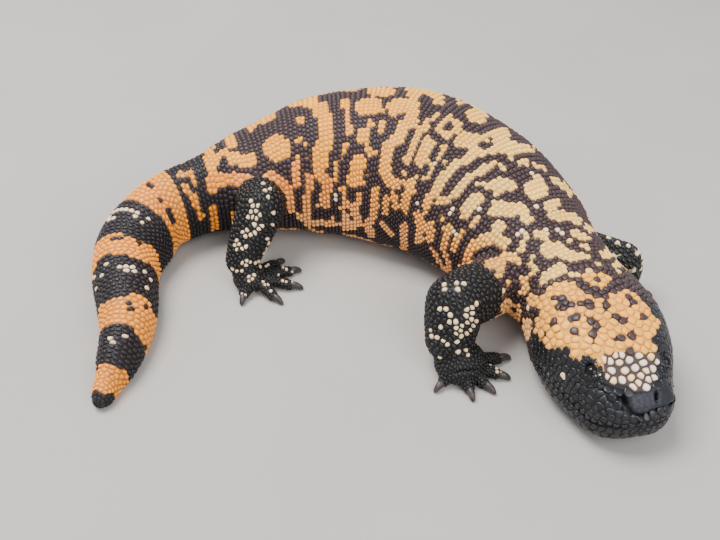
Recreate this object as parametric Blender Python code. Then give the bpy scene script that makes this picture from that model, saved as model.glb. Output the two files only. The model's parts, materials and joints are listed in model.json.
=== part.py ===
"""A gila monster at life size, low on its four legs, with its body bent round to its right.

Metres, +Z up, on a floor at z = 0. The origin is on the floor under the middle of the trunk.
The body is one surface lofted along a curved spine, and cut across into named lengths.
A station is a distance along the spine from the tail tip. An angle round the body is 0 degrees
on the animal's right, 90 on its back and 270 on its belly.
"""

import math

import bmesh
import bpy
import numpy as np
from mathutils import Matrix, Vector

# Clearance between neighbouring pieces.
GAP = 0.0003

# The spine, from the tail tip forwards: length of each stretch, and its turn to the left in degrees.
SPINE_STRETCHES = (
    (0.025, 6),
    (0.025, 22),
    (0.018, 4),
    (0.022, -28),
    (0.031, -48),
    (0.050, -20),
    (0.050, -14),
    (0.060, -40),
    (0.050, -21),
    (0.028, -14),
    (0.015, -3),
    (0.060, 0),
)
TAIL_TIP_HEADING = 76.0
MIDDLE_STATION = 0.241
SPINE_STEP = 0.001
BEND_SOFTENING = 0.012

# Stations that divide the body into its named lengths.
TAIL_END_STATION = 0.046
TAIL_MIDDLE_STATION = 0.094
VENT_STATION = 0.138
LOIN_STATION = 0.206
BELLY_STATION = 0.276
SHOULDER_STATION = 0.341
NAPE_STATION = 0.367
SNOUT_STATION = 0.4315

# The body's sections: station, half width, height of the underside, height of the back.
SECTIONS = (
    (0.000, 0.0046, 0.000, 0.0098),
    (0.010, 0.0053, 0.000, 0.0125),
    (0.019, 0.0081, 0.000, 0.0172),
    (0.028, 0.0096, 0.000, 0.0200),
    (0.050, 0.0130, 0.000, 0.0250),
    (0.080, 0.0157, 0.000, 0.0298),
    (0.097, 0.0174, 0.000, 0.0325),
    (0.115, 0.0155, 0.0020, 0.0385),
    (0.135, 0.0160, 0.0025, 0.0415),
    (0.160, 0.0280, 0.0045, 0.0485),
    (0.201, 0.0350, 0.001, 0.0655),
    (0.246, 0.0432, 0.000, 0.0695),
    (0.286, 0.0418, 0.000, 0.0605),
    (0.318, 0.0350, 0.000, 0.0485),
    (0.341, 0.0243, 0.003, 0.0442),
    (0.356, 0.0228, 0.005, 0.0425),
    (0.370, 0.0258, 0.0045, 0.0420),
    (0.385, 0.0272, 0.0035, 0.0420),
    (0.399, 0.0258, 0.0030, 0.0395),
    (0.410, 0.0225, 0.0034, 0.0342),
    (0.4205, 0.0190, 0.0040, 0.0292),
    (0.4315, 0.0166, 0.0042, 0.0262),
)
TAIL_ROUNDING = 0.007
SNOUT_ROUNDING = 0.014
WIDEST_AT = 0.42
BACK_POWER = 2.1
BELLY_POWER = 2.6
HEAD_POWER = 2.5
JAW_POWER = 4.4
FLOOR_SINK = 0.0015
POLE_INSET = 0.00015

# Swellings of the head: station, angle, reach along, reach round in degrees, height.
HEAD_SWELLINGS = (
    (0.408, 52, 0.008, 16, 0.0012),
    (0.386, 5, 0.012, 30, 0.0012),
    (0.426, 30, 0.006, 24, 0.0010),
    (0.416, 20, 0.006, 18, -0.0010),
    (0.400, -25, 0.018, 22, 0.0012),
)

# Skin folded on the inside of the bend, in front of the right shoulder, in the same terms.
SHOULDER_FOLD = (0.346, -12, 0.015, 42, 0.0065)

# The beads of the skin.
BEAD_PITCH = 0.0080
TAIL_BEAD_PITCH = 0.0070
BEAD_RISE = 0.0007
BEAD_GROOVE = 0.0006
HEAD_BEAD_PITCH = 0.0060
HEAD_BEAD_RISE = 0.0005
HEAD_BEAD_GROOVE = 0.0003
BELLY_COLUMN_SHARE = 0.5
LIMB_FADE = (0.012, 0.022)

# The eyes, nostrils and ears, by station and angle on the right side.
EYE_RADIUS = 0.0030
EYE_STATION = 0.4107
EYE_ANGLE = 43
EYE_SINK = 0.0018
LID_RADIUS = 0.0009
LID_HALF_LENGTH = 0.0035
LID_HALF_HEIGHT = 0.0025
LID_LIFT = 0.0011
NOSTRIL_STATION = 0.4243
NOSTRIL_ANGLE = 60
NOSTRIL_SIZE = (0.0019, 0.0013, 0.0022)
EAR_STATION = 0.3770
EAR_ANGLE = 12
EAR_SIZE = (0.0013, 0.0040, 0.0026)

# The line of the mouth seen from the side: station and height, from the snout to the throat.
MOUTH_LINE = (
    (0.446, 0.0166),
    (0.4305, 0.0162),
    (0.423, 0.0137),
    (0.404, 0.0146),
    (0.394, 0.0148),
    (0.387, 0.0122),
    (0.383, 0.0050),
    (0.380, -0.0100),
)
MOUTH_BASE = -0.0100
HEAD_REACH = 0.045

# Each leg: spine station of its root, side, and its joints as (forwards, outwards, up) from there.
# Each toe: its heading against the body's, and how far its claw's tip is from the middle of the palm.
LEGS = {
    "front_right": dict(
        station=0.324, side=1, root=(0.006, 0.014, 0.015), knee=(0.0180, 0.0585, 0.0270),
        wrist=(0.0245, 0.0645, 0.0145), palm=(0.0320, 0.0635, 0.0058), girth=0.0126, ankle_girth=0.0108,
        toes=((76, 0.0245), (46, 0.0225), (16, 0.0200), (-16, 0.0185), (-72, 0.0175)),
    ),
    "front_left": dict(
        station=0.324, side=-1, root=(0.008, 0.010, 0.023), knee=(0.0290, 0.0290, 0.0210),
        wrist=(0.0290, 0.0330, 0.0120), palm=(0.0310, 0.0320, 0.0050), girth=0.0092, ankle_girth=0.0078,
        toes=((42, 0.0165), (20, 0.0180), (0, 0.0185), (-20, 0.0175), (-50, 0.0150)),
    ),
    "hind_right": dict(
        station=0.158, side=1, root=(0.0075, 0.012, 0.026), knee=(0.0040, 0.0340, 0.0325),
        wrist=(-0.0100, 0.0465, 0.0125), palm=(-0.0080, 0.0520, 0.0050), girth=0.0115, ankle_girth=0.0080,
        toes=((30, 0.0230), (4, 0.0262), (-25, 0.0262), (-58, 0.0222), (-118, 0.0155)),
    ),
    "hind_left": dict(
        station=0.158, side=-1, root=(0.004, 0.012, 0.024), knee=(0.018, 0.0375, 0.0205),
        wrist=(0.006, 0.0445, 0.0120), palm=(0.010, 0.0475, 0.0050), girth=0.0098, ankle_girth=0.0078,
        toes=((40, 0.0190), (18, 0.0215), (-4, 0.0220), (-28, 0.0200), (-75, 0.0150)),
    ),
}
LIMB_COLUMNS = 11
LIMB_PITCH = 0.0068
LIMB_RISE = 0.0005
CUTTER_PITCH = 0.0065
PALM_SHARE = (1.02, 1.06, 0.60)
PALM_THICKNESS = 0.0018
TOE_RADIUS = 0.0029
TOE_SIDES = 6
TOE_RINGS = 4
TOE_ARCH = 0.0022
SOLE_SINK = 0.0007
CLAW_LENGTH = 0.0047
CLAW_RADIUS = 0.0021
CLAW_ROOT = 0.0012
CLAW_SIDES = 5
CLAW_TAPER = (1.0, 0.92, 0.70, 0.22)
CLAW_TIP_HEIGHT = 0.0006
CLAW_RISE = 0.0014

SKIN_DARK = (0.035, 0.022, 0.020)
SKIN_PALE = (0.620, 0.330, 0.130)
CLAW_COLOUR = (0.060, 0.050, 0.048)
EYE_COLOUR = (0.010, 0.008, 0.007)


def interpolate(stations, places, values):
    """A smooth curve through the values that never overshoots them."""
    places, values = np.asarray(places, float), np.asarray(values, float)
    widths = np.diff(places)
    slopes = np.diff(values) / widths
    tangents = np.zeros_like(values)
    same_way = slopes[1:] * slopes[:-1] > 0
    total = np.where(same_way, slopes[1:] + slopes[:-1], 1.0)
    tangents[1:-1] = np.where(same_way, 2 * slopes[1:] * slopes[:-1] / total, 0.0)
    tangents[0], tangents[-1] = slopes[0], slopes[-1]
    i = np.clip(np.searchsorted(places, stations) - 1, 0, len(widths) - 1)
    t = np.clip((stations - places[i]) / widths[i], 0, 1)
    rise = widths[i] * (tangents[i] * (t**3 - 2 * t**2 + t) + tangents[i + 1] * (t**3 - t**2))
    return values[i] * (2 * t**3 - 3 * t**2 + 1) + values[i + 1] * (3 * t**2 - 2 * t**3) + rise


def trace_spine():
    """Stations along the spine with their plan position and heading in radians."""
    knots = np.concatenate([[0], np.cumsum([length for length, _ in SPINE_STRETCHES])])
    turns = np.concatenate([[0], np.cumsum([turn for _, turn in SPINE_STRETCHES])])
    stations = np.arange(0, knots[-1] + SPINE_STEP, SPINE_STEP)
    window = np.linspace(-BEND_SOFTENING, BEND_SOFTENING, 9)
    headings = np.mean([np.interp(stations + w, knots, turns) for w in window], axis=0)
    headings = np.radians(TAIL_TIP_HEADING + headings)
    plan = []
    for wave in (np.cos(headings), np.sin(headings)):
        path = np.concatenate([[0], np.cumsum((wave[1:] + wave[:-1]) / 2 * SPINE_STEP)])
        plan.append(path - np.interp(MIDDLE_STATION, stations, path))
    return stations, plan[0], plan[1], headings


SPINE = trace_spine()


def spine_at(station):
    stations, x, y, headings = SPINE
    return tuple(np.interp(station, stations, values) for values in (x, y, headings))


def placed(station, forwards, outwards, up, side):
    """A point given from the spine at a station: forwards, out to that side, and up from the floor."""
    x, y, heading = spine_at(station)
    cos, sin = math.cos(heading), math.sin(heading)
    return Vector((x + forwards * cos + side * outwards * sin, y + forwards * sin - side * outwards * cos, up))


def body_section(station):
    """Half width, height of the widest line, reach up, reach down and shape powers at each station."""
    places, widths, bottoms, tops = (np.array(column) for column in zip(*SECTIONS))
    half_width = interpolate(station, places, widths)
    bottom = interpolate(station, places, bottoms)
    top = interpolate(station, places, tops)
    bottom = bottom - FLOOR_SINK * (bottom < FLOOR_SINK)
    tail = np.clip(1 - station / TAIL_ROUNDING, 0, 1)
    snout = np.clip(1 - (SNOUT_STATION - station) / SNOUT_ROUNDING, 0, 1)
    closing = np.sqrt(1 - tail**2) * np.sqrt(1 - snout**2.4)
    middle = bottom + WIDEST_AT * (top - bottom)
    headness = np.clip((station - SHOULDER_STATION) / (NAPE_STATION - SHOULDER_STATION), 0, 1)
    back_power = BACK_POWER + (HEAD_POWER - BACK_POWER) * headness
    belly_power = BELLY_POWER + (JAW_POWER - BELLY_POWER) * headness
    reaches = (top - middle) * closing, (middle - bottom) * closing
    return half_width * closing, middle, *reaches, back_power, belly_power, closing


def head_swelling(station, angle):
    """How far the head's own forms stand out from the plain loft."""
    rise = np.zeros(np.broadcast(station, angle).shape)
    for place, at, along, around, height in HEAD_SWELLINGS:
        for centre in (math.radians(at), math.pi - math.radians(at)):
            turn = np.angle(np.exp(1j * (angle - centre)))
            reach = ((station - place) / along) ** 2 + (turn / math.radians(around)) ** 2
            rise = rise + height * np.exp(-reach)
    place, at, along, around, height = SHOULDER_FOLD
    turn = np.angle(np.exp(1j * (angle - math.radians(at))))
    reach = ((station - place) / along) ** 2 + (turn / math.radians(around)) ** 2
    return rise + height * np.exp(-reach)


def body_surface(station, angle, swell=0.0):
    """Points of the body's surface, and its normals in the plane of the section."""
    half_width, middle, up, down, back_power, belly_power, closing = body_section(station)
    cos, sin = np.cos(angle), np.sin(angle)
    power = np.where(sin >= 0, back_power, belly_power)
    reach = np.where(sin >= 0, up, down)
    width = np.maximum(half_width, 1e-9)
    reach = np.maximum(reach, 1e-9)
    radius = (np.abs(cos / width) ** power + np.abs(sin / reach) ** power) ** (-1 / power)
    across, rise = radius * cos, radius * sin
    normal_across = np.sign(cos) * np.abs(across / width) ** (power - 1) / width
    normal_rise = np.sign(sin) * np.abs(rise / reach) ** (power - 1) / reach
    length = np.maximum(np.hypot(normal_across, normal_rise), 1e-12)
    normal_across, normal_rise = normal_across / length, normal_rise / length
    out = (swell + head_swelling(station, angle)) * closing
    across = across + out * normal_across
    height = np.maximum(middle + rise + out * normal_rise, 0)
    x, y, heading = spine_at(station)
    points = np.stack([x + across * np.sin(heading), y - across * np.cos(heading), height], -1)
    normals = np.stack([normal_across * np.sin(heading), -normal_across * np.cos(heading), normal_rise], -1)
    return points, normals


def outline_lengths(station):
    """Angles round a section from under the belly, and how far round each is, the belly counting less."""
    fine = np.radians(np.linspace(-90, 270, 361))
    points, _ = body_surface(np.full_like(fine, station), fine)
    steps = np.linalg.norm(np.diff(points, axis=0), axis=1)
    middle = (fine[1:] + fine[:-1]) / 2
    steps = steps * np.where(np.sin(middle) < -0.55, BELLY_COLUMN_SHARE, 1.0)
    return fine, np.concatenate([[0], np.cumsum(steps)])


def angles_round(station, shares):
    """Angles that divide the section's outline evenly, with wider steps under the belly."""
    fine, travelled = outline_lengths(station)
    return np.interp(np.mod(shares, 1.0), travelled / travelled[-1], fine)


def bead_relief(points, station, angle, rise):
    """The beads fade on the belly, on the nose and round the roots of the legs, where the skin is fine."""
    strength = np.clip((np.sin(angle) + 0.75) / 0.35, 0, 1)
    strength = strength * np.clip((SNOUT_STATION - station) / SNOUT_ROUNDING - 0.25, 0, 1)
    for leg in LEGS.values():
        root = placed(leg["station"], *leg["root"], leg["side"])
        out = placed(leg["station"], *leg["knee"], leg["side"])
        axis = (out - root).normalized()
        away = points - np.array(root)
        along = away @ np.array(axis)
        apart = np.linalg.norm(away - along[:, None] * np.array(axis), axis=1)
        near = np.clip((apart - LIMB_FADE[0]) / (LIMB_FADE[1] - LIMB_FADE[0]), 0, 1)
        strength = strength * np.where(along > 0, near, 1.0)
    return strength * rise


def new_mesh_object(name, vertices, faces):
    mesh = bpy.data.meshes.new(name)
    mesh.from_pydata([tuple(map(float, v)) for v in vertices], [], faces)
    shape = bmesh.new()
    shape.from_mesh(mesh)
    bmesh.ops.recalc_face_normals(shape, faces=shape.faces)
    shape.to_mesh(mesh)
    shape.free()
    made = bpy.data.objects.new(name, mesh)
    bpy.context.scene.collection.objects.link(made)
    return made


def bead_lattice(name, ring_at, start, end, columns, pitch, heights, poles=(None, None)):
    """A closed length of a surface between two stations, raised into staggered beads.

    Each bead is a low six-sided peak: its top is on a bead row, and its six corners are on
    the two rings of groove points between this row and the next. An end with a pole closes
    on that point, and an end without one is a flat face.
    """
    rise, groove = heights
    rows = max(2, round((end - start) / (pitch * math.sqrt(3) / 2) + 1 / 3))
    row_step = (end - start) / (rows - 1 / 3)
    vertices, rings = [], {}

    def add_ring(kind, row, station, shift, height):
        rings[kind, row] = len(vertices)
        vertices.extend(ring_at(station, (np.arange(columns) + shift + 0.5) / columns, height))

    add_ring("upper", -1, start, 0.5, -groove)
    for row in range(rows):
        shift = (row % 2) / 2
        top = start + row_step * (row + 1 / 3)
        add_ring("top", row, top, shift, rise)
        add_ring("lower", row, top + row_step / 3, shift + 0.5, -groove)
        if row < rows - 1:
            add_ring("upper", row, top + row_step * 2 / 3, shift, -groove)

    faces = []
    for row in range(rows):
        odd = row % 2
        for i in range(columns):
            corners = [("lower", row, i), ("upper", row, i), ("lower", row, i - 1)]
            corners += [("upper", row - 1, i - 1 + odd), ("lower", row - 1, i - 1 + odd), ("upper", row - 1, i + odd)]
            ring = [rings[k, r] + j % columns for k, r, j in corners if (k, r) in rings]
            centre = rings["top", row] + i
            faces += [(centre, ring[j], ring[(j + 1) % len(ring)]) for j in range(len(ring))]
    for ring, pole in ((("upper", -1), poles[0]), (("lower", rows - 1), poles[1])):
        outline = [rings[ring] + i for i in range(columns)]
        if pole is None:
            faces.append(tuple(outline))
        else:
            vertices.append(pole)
            faces += [(len(vertices) - 1, outline[i - 1], outline[i]) for i in range(columns)]
    return new_mesh_object(name, vertices, faces)


def beaded_length(name, start, end, pitch, rise, groove, swell=0.0):
    """A length of the body between two stations, closed round at the tail tip and the snout."""
    columns = round(outline_lengths((start + end) / 2)[1][-1] / pitch)
    poles = [None, None]
    for i, (station, closed) in enumerate(((start, start <= 0), (end, end >= SNOUT_STATION))):
        if closed:
            x, y, _ = spine_at(station)
            poles[i] = (x, y, float(body_section(np.array(station))[1]))

    def ring_at(station, shares, height):
        angles = angles_round(station, shares)
        stations = np.full(len(shares), station)
        plain, _ = body_surface(stations, angles)
        return body_surface(stations, angles, swell + bead_relief(plain, stations, angles, height))[0]

    first = start + (POLE_INSET if poles[0] else 0)
    last = end - (POLE_INSET if poles[1] else 0)
    return bead_lattice(name, ring_at, first, last, columns, pitch, (rise, groove), poles)


def capsule(name, start, end, radii, columns, pitch, heights, swell=0.0):
    """A straight tapering length of limb with a round dome at each end."""
    axis = end - start
    turn = frame_along(axis)
    length = axis.length
    low, high = -radii[0] - swell, length + radii[1] + swell

    def ring_at(station, shares, height):
        mid = np.interp(station, (0, length), radii) + swell
        if station < 0:
            mid = math.sqrt(max(mid * mid - station * station, 0))
        elif station > length:
            mid = math.sqrt(max(mid * mid - (station - length) ** 2, 0))
        reach = mid + height * min(1, mid / radii[1])
        angles = 2 * math.pi * shares
        return [start + turn @ Vector((reach * math.cos(a), reach * math.sin(a), station)) for a in angles]

    poles = (start + turn @ Vector((0, 0, low)), start + turn @ Vector((0, 0, high)))
    inset = (high - low) * 0.02
    return bead_lattice(name, ring_at, low + inset, high - inset, columns, pitch, heights, poles)


def largest_surface(mesh):
    """Keeps only the mesh's largest closed surface, and drops any loose scrap."""
    shape = bmesh.new()
    shape.from_mesh(mesh)
    bmesh.ops.remove_doubles(shape, verts=shape.verts, dist=1e-6)
    left, groups = set(shape.faces), []
    while left:
        stack, group = [left.pop()], []
        while stack:
            face = stack.pop()
            group.append(face)
            for edge in face.edges:
                for other in edge.link_faces:
                    if other in left:
                        left.remove(other)
                        stack.append(other)
        groups.append(group)
    groups.sort(key=lambda group: sum(face.calc_area() for face in group))
    scraps = [face for group in groups[:-1] for face in group]
    bmesh.ops.delete(shape, geom=scraps, context="FACES")
    bmesh.ops.delete(shape, geom=[v for v in shape.verts if not v.link_faces], context="VERTS")
    shape.to_mesh(mesh)
    shape.free()


def combine(target, operands, operation, solver="EXACT"):
    """Applies one Boolean with all the operands to the target, and removes them."""
    group = bpy.data.collections.new("operands")
    bpy.context.scene.collection.children.link(group)
    for operand in operands:
        group.objects.link(operand)
    modifier = target.modifiers.new(operation.lower(), "BOOLEAN")
    modifier.operation = operation
    modifier.operand_type = "COLLECTION"
    modifier.collection = group
    modifier.solver = solver
    bpy.context.view_layer.update()
    graph = bpy.context.evaluated_depsgraph_get()
    made = bpy.data.meshes.new_from_object(target.evaluated_get(graph))
    target.modifiers.clear()
    target.data = made
    for operand in operands:
        bpy.data.objects.remove(operand)
    bpy.data.collections.remove(group)
    largest_surface(target.data)
    return target


def frame_along(direction, up=Vector((0, 0, 1))):
    """A rotation whose Z runs along the direction and whose Y is as near up as it can be."""
    z = Vector(direction).normalized()
    x = Vector(up).cross(z)
    if x.length < 1e-6:
        x = Vector((1, 0, 0)).cross(z)
    x.normalize()
    return Matrix((x, z.cross(x), z)).transposed()


def rounded_path(points, count, passes=3):
    """Points evenly spaced along a line whose corners are cut round."""
    line = [Vector(p) for p in points]
    for _ in range(passes):
        cut = [line[0]]
        for a, b in zip(line, line[1:]):
            cut += [a.lerp(b, 0.25), a.lerp(b, 0.75)]
        line = cut + [line[-1]]
    line = np.array(line)
    travelled = np.concatenate([[0], np.cumsum(np.linalg.norm(np.diff(line, axis=0), axis=1))])
    at = np.linspace(0, travelled[-1], count)
    return [Vector(np.array([np.interp(d, travelled, line[:, axis]) for axis in range(3)])) for d in at]


def tube(name, path, widths, heights, sides, start_pole=False, end_pole=False, up=Vector((0, 0, 1))):
    """A closed tube along a path, with an elliptic section at each point of it."""
    vertices, faces = [], []
    for i, point in enumerate(path):
        ahead = path[min(i + 1, len(path) - 1)] - path[max(i - 1, 0)]
        turn = frame_along(ahead, up)
        for k in range(sides):
            angle = 2 * math.pi * (k + 0.5) / sides
            vertices.append(point + turn @ Vector((widths[i] * math.cos(angle), heights[i] * math.sin(angle), 0)))
    for i in range(len(path) - 1):
        for k in range(sides):
            a, b = i * sides + k, i * sides + (k + 1) % sides
            faces.append((a, b, b + sides, a + sides))
    for first, pole, at in ((0, start_pole, path[0]), (sides * (len(path) - 1), end_pole, path[-1])):
        outline = [first + k for k in range(sides)]
        if pole:
            vertices.append(at)
            faces += [(len(vertices) - 1, outline[k - 1], outline[k]) for k in range(sides)]
        else:
            faces.append(tuple(outline))
    return new_mesh_object(name, vertices, faces)


def ellipsoid(name, centre, turn, size, segments=12, rings=6):
    shape = bmesh.new()
    bmesh.ops.create_uvsphere(shape, u_segments=segments, v_segments=rings, radius=1.0)
    mesh = bpy.data.meshes.new(name)
    shape.to_mesh(mesh)
    shape.free()
    place = Matrix.Translation(centre) @ turn.to_4x4() @ Matrix.Diagonal((*size, 1))
    mesh.transform(place)
    made = bpy.data.objects.new(name, mesh)
    bpy.context.scene.collection.objects.link(made)
    return made


def on_head(station, angle_deg, side):
    """A point of the head's surface with its outward direction and a forward and an upward tangent."""
    angle = math.radians(angle_deg if side > 0 else 180 - angle_deg)
    points, normals = body_surface(np.array([station]), np.array([angle]))
    _, _, heading = spine_at(station)
    forward = Vector((math.cos(heading), math.sin(heading), 0))
    out = Vector(normals[0]).normalized()
    return Vector(points[0]), out, forward


def surface_turn(out, forward):
    """X forward along the head, Y up along its surface, Z outward."""
    x = (forward - out * forward.dot(out)).normalized()
    return Matrix((x, out.cross(x), out)).transposed()


def eye_place(side):
    point, out, forward = on_head(EYE_STATION, EYE_ANGLE, side)
    return point - out * EYE_SINK, surface_turn(out, forward)


def lid_ring(name, side):
    """The two lids: one almond-shaped roll round the eye, thicker above than below."""
    centre, turn = eye_place(side)
    sides, steps = 6, 14
    vertices, faces = [], []
    for i in range(steps):
        a = 2 * math.pi * i / steps
        along = Vector((LID_HALF_LENGTH * math.cos(a), LID_HALF_HEIGHT * math.sin(a), 0))
        upward = math.sin(a) * (1 if side > 0 else -1)
        thick = LID_RADIUS * (1.12 + 0.28 * upward)
        lift = Vector((0, 0, LID_LIFT))
        out = along.normalized()
        for k in range(sides):
            b = 2 * math.pi * k / sides
            local = along + lift + thick * (out * math.cos(b) + Vector((0, 0, math.sin(b))))
            vertices.append(centre + turn @ local)
    for i in range(steps):
        for k in range(sides):
            j, m = (i + 1) % steps, (k + 1) % sides
            faces.append((i * sides + k, i * sides + m, j * sides + m, j * sides + k))
    return new_mesh_object(name, vertices, faces)


def jaw_block(name, inset):
    """The space of the lower jaw: everything under the line of the mouth, in front of the throat."""
    outline = list(MOUTH_LINE) + [(MOUTH_LINE[0][0], MOUTH_BASE)]
    outline = [(s - (inset if i >= 5 else 0), z + (inset if i <= 5 else 0)) for i, (s, z) in enumerate(outline)]
    x, y, heading = spine_at(EYE_STATION)
    vertices = []
    for side in (-1, 1):
        for station, height in outline:
            ahead, out = station - EYE_STATION, side * HEAD_REACH
            cos, sin = math.cos(heading), math.sin(heading)
            vertices.append((x + ahead * cos + out * sin, y + ahead * sin - out * cos, height))
    count = len(outline)
    faces = [tuple(range(count)), tuple(range(2 * count - 1, count - 1, -1))]
    faces += [(i, (i + 1) % count, (i + 1) % count + count, i + count) for i in range(count)]
    return new_mesh_object(name, vertices, faces)


def build_head():
    """The head and the lower jaw, with lids, nostrils, ear openings and the line of the mouth."""
    head = beaded_length(
        "head", NAPE_STATION + GAP / 2, SNOUT_STATION, HEAD_BEAD_PITCH, HEAD_BEAD_RISE, HEAD_BEAD_GROOVE
    )
    jaw = bpy.data.objects.new("lower_jaw", head.data.copy())
    bpy.context.scene.collection.objects.link(jaw)
    combine(jaw, [jaw_block("jaw_space", -GAP / 2)], "INTERSECT")
    combine(head, [lid_ring(f"lids_{side}", side) for side in (1, -1)], "UNION")
    holes = [jaw_block("jaw_space", GAP / 2)]
    for side in (1, -1):
        centre, turn = eye_place(side)
        holes.append(ellipsoid(f"socket_{side}", centre, turn, (EYE_RADIUS + GAP,) * 3, 12, 7))
        point, out, forward = on_head(NOSTRIL_STATION, NOSTRIL_ANGLE, side)
        holes.append(ellipsoid(f"nostril_{side}", point, surface_turn(out, forward), NOSTRIL_SIZE))
        point, out, forward = on_head(EAR_STATION, EAR_ANGLE, side)
        holes.append(ellipsoid(f"ear_{side}", point, surface_turn(out, forward), EAR_SIZE))
    combine(head, holes, "DIFFERENCE")
    for side, word in ((1, "right"), (-1, "left")):
        centre, turn = eye_place(side)
        ellipsoid(f"eye_{word}", centre, turn, (EYE_RADIUS,) * 3, 12, 7)


def build_trunk():
    """The neck, the trunk in three lengths and the tail in three lengths."""
    lengths = (
        ("tail_end", 0.0, TAIL_END_STATION, TAIL_BEAD_PITCH),
        ("tail_middle", TAIL_END_STATION, TAIL_MIDDLE_STATION, TAIL_BEAD_PITCH),
        ("tail_base", TAIL_MIDDLE_STATION, VENT_STATION, TAIL_BEAD_PITCH),
        ("torso_rear", VENT_STATION, LOIN_STATION, BEAD_PITCH),
        ("torso_middle", LOIN_STATION, BELLY_STATION, BEAD_PITCH),
        ("torso_front", BELLY_STATION, SHOULDER_STATION, BEAD_PITCH),
        ("neck", SHOULDER_STATION, NAPE_STATION, BEAD_PITCH),
    )
    for name, start, end, pitch in lengths:
        low = start + (GAP / 2 if start > 0 else 0)
        beaded_length(name, low, end - GAP / 2, pitch, BEAD_RISE, BEAD_GROOVE)


def flesh_cutter(name, station):
    """The trunk near a leg's root, a gap larger than its own surface, to cut the leg to it."""
    low, high = station - 0.055, min(station + 0.055, SNOUT_STATION - 0.01)
    return beaded_length(name, low, high, CUTTER_PITCH, 0.0, 0.0, swell=GAP * 1.4 + BEAD_RISE)


def limb_sizes(leg):
    """The joints of a limb and its radii there."""
    points = [placed(leg["station"], *leg[joint], leg["side"]) for joint in ("root", "knee", "wrist")]
    return points, (leg["girth"] * 1.1, leg["girth"], leg["ankle_girth"])


def palm_size(leg):
    """The palm's half length, half width and half height, from the thickness of the ankle."""
    long, wide, high = (share * leg["ankle_girth"] for share in PALM_SHARE)
    return long, wide, high + PALM_THICKNESS


def build_leg(name, leg):
    (root, knee, wrist), radii = limb_sizes(leg)
    limb = "arm" if name.startswith("front") else "leg"
    beads = (LIMB_RISE, LIMB_RISE)
    upper = capsule(f"{name}_upper_{limb}", root, knee, radii[:2], LIMB_COLUMNS, LIMB_PITCH, beads)
    combine(upper, [flesh_cutter("flesh", leg["station"])], "DIFFERENCE")
    lower = capsule(f"{name}_lower_{limb}", knee, wrist, radii[1:], LIMB_COLUMNS, LIMB_PITCH, beads)
    clear = GAP + LIMB_RISE
    above = capsule("above", root, knee, radii[:2], LIMB_COLUMNS, LIMB_PITCH, (0, 0), clear)
    combine(lower, [flesh_cutter("flesh", leg["station"]), above], "DIFFERENCE")
    build_foot(name, leg, knee, wrist, radii)


def build_foot(name, leg, knee, wrist, radii):
    """The palm with its ankle and five toes in one piece, flat underneath, and five claws."""
    _, _, heading = spine_at(leg["station"])
    side = leg["side"]
    palm = placed(leg["station"], *leg["palm"], side)
    size = palm_size(leg)
    ankle = (radii[2] * 0.97, size[2])
    foot = capsule(f"{name}_foot", wrist, palm, ankle, LIMB_COLUMNS, LIMB_PITCH, (0, 0))
    sockets = []
    pieces = [ellipsoid("palm", palm, Matrix.Rotation(heading, 3, "Z"), size)]
    for number, (turn, reach) in enumerate(leg["toes"], 1):
        way = heading + math.radians(turn) * side
        ahead = Vector((math.cos(way), math.sin(way), 0))
        low = TOE_RADIUS * 0.85 - SOLE_SINK
        tip = palm + ahead * (reach - CLAW_LENGTH)
        tip.z = low
        root = palm + ahead * 0.003
        bend = root.lerp(tip, 0.6)
        bend.z = low + TOE_ARCH
        line = rounded_path([root, bend, tip], TOE_RINGS + 1)
        radius = TOE_RADIUS * np.linspace(1.05, 0.85, TOE_RINGS + 1)
        radius[-1] *= 0.86
        pieces.append(tube(f"toe_{number}", line, radius, radius, TOE_SIDES))
        claw(f"{name}_claw_{number}", tip, ahead, 0.0)
        sockets.append(claw("socket", tip, ahead, GAP))
    combine(foot, pieces, "UNION")
    above = capsule("above", knee, wrist, radii[1:], LIMB_COLUMNS, LIMB_PITCH, (0, 0), GAP + LIMB_RISE)
    combine(foot, [floor_block(palm), above] + sockets, "DIFFERENCE")


def floor_block(under):
    """A block with its top at the floor, to cut the sole flat."""
    mesh = bpy.data.meshes.new("floor")
    shape = bmesh.new()
    place = Matrix.Translation((under.x, under.y, -0.05)) @ Matrix.Diagonal((0.2, 0.2, 0.1, 1))
    bmesh.ops.create_cube(shape, size=1.0, matrix=place)
    shape.to_mesh(mesh)
    shape.free()
    block = bpy.data.objects.new("floor", mesh)
    bpy.context.scene.collection.objects.link(block)
    return block


def claw(name, toe_tip, ahead, swell):
    """A claw set a little way into the end of its toe, or the socket for it when swollen."""
    start = toe_tip - ahead * (CLAW_ROOT + swell) + Vector((0, 0, 0.0004))
    end = toe_tip + ahead * CLAW_LENGTH
    end.z = CLAW_TIP_HEIGHT
    high = start.lerp(end, 0.45) + Vector((0, 0, CLAW_RISE))
    line = rounded_path([start, high, end], len(CLAW_TAPER))
    radius = CLAW_RADIUS * np.array(CLAW_TAPER)
    return tube(name, line, radius * 0.85 + swell, radius + swell, CLAW_SIDES)


def material(name, colour, roughness):
    made = bpy.data.materials.new(name)
    made.use_nodes = True
    shader = made.node_tree.nodes["Principled BSDF"]
    shader.inputs["Base Color"].default_value = (*colour, 1)
    shader.inputs["Roughness"].default_value = roughness
    shader.inputs["Metallic"].default_value = 0.0
    return made


def finish_objects():
    """Gives each piece its own material and smooth shading."""
    for piece in list(bpy.context.scene.collection.objects):
        if "eye" in piece.name:
            colour, roughness = EYE_COLOUR, 0.1
        elif "claw" in piece.name:
            colour, roughness = CLAW_COLOUR, 0.35
        elif any(word in piece.name for word in ("foot", "arm", "leg", "jaw")):
            colour, roughness = SKIN_DARK, 0.5
        else:
            colour, roughness = SKIN_PALE, 0.5
        piece.data.materials.clear()
        piece.data.materials.append(material(piece.name, colour, roughness))
        piece.data.shade_smooth()
        piece.data.set_sharp_from_angle(angle=math.radians(50))


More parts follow.
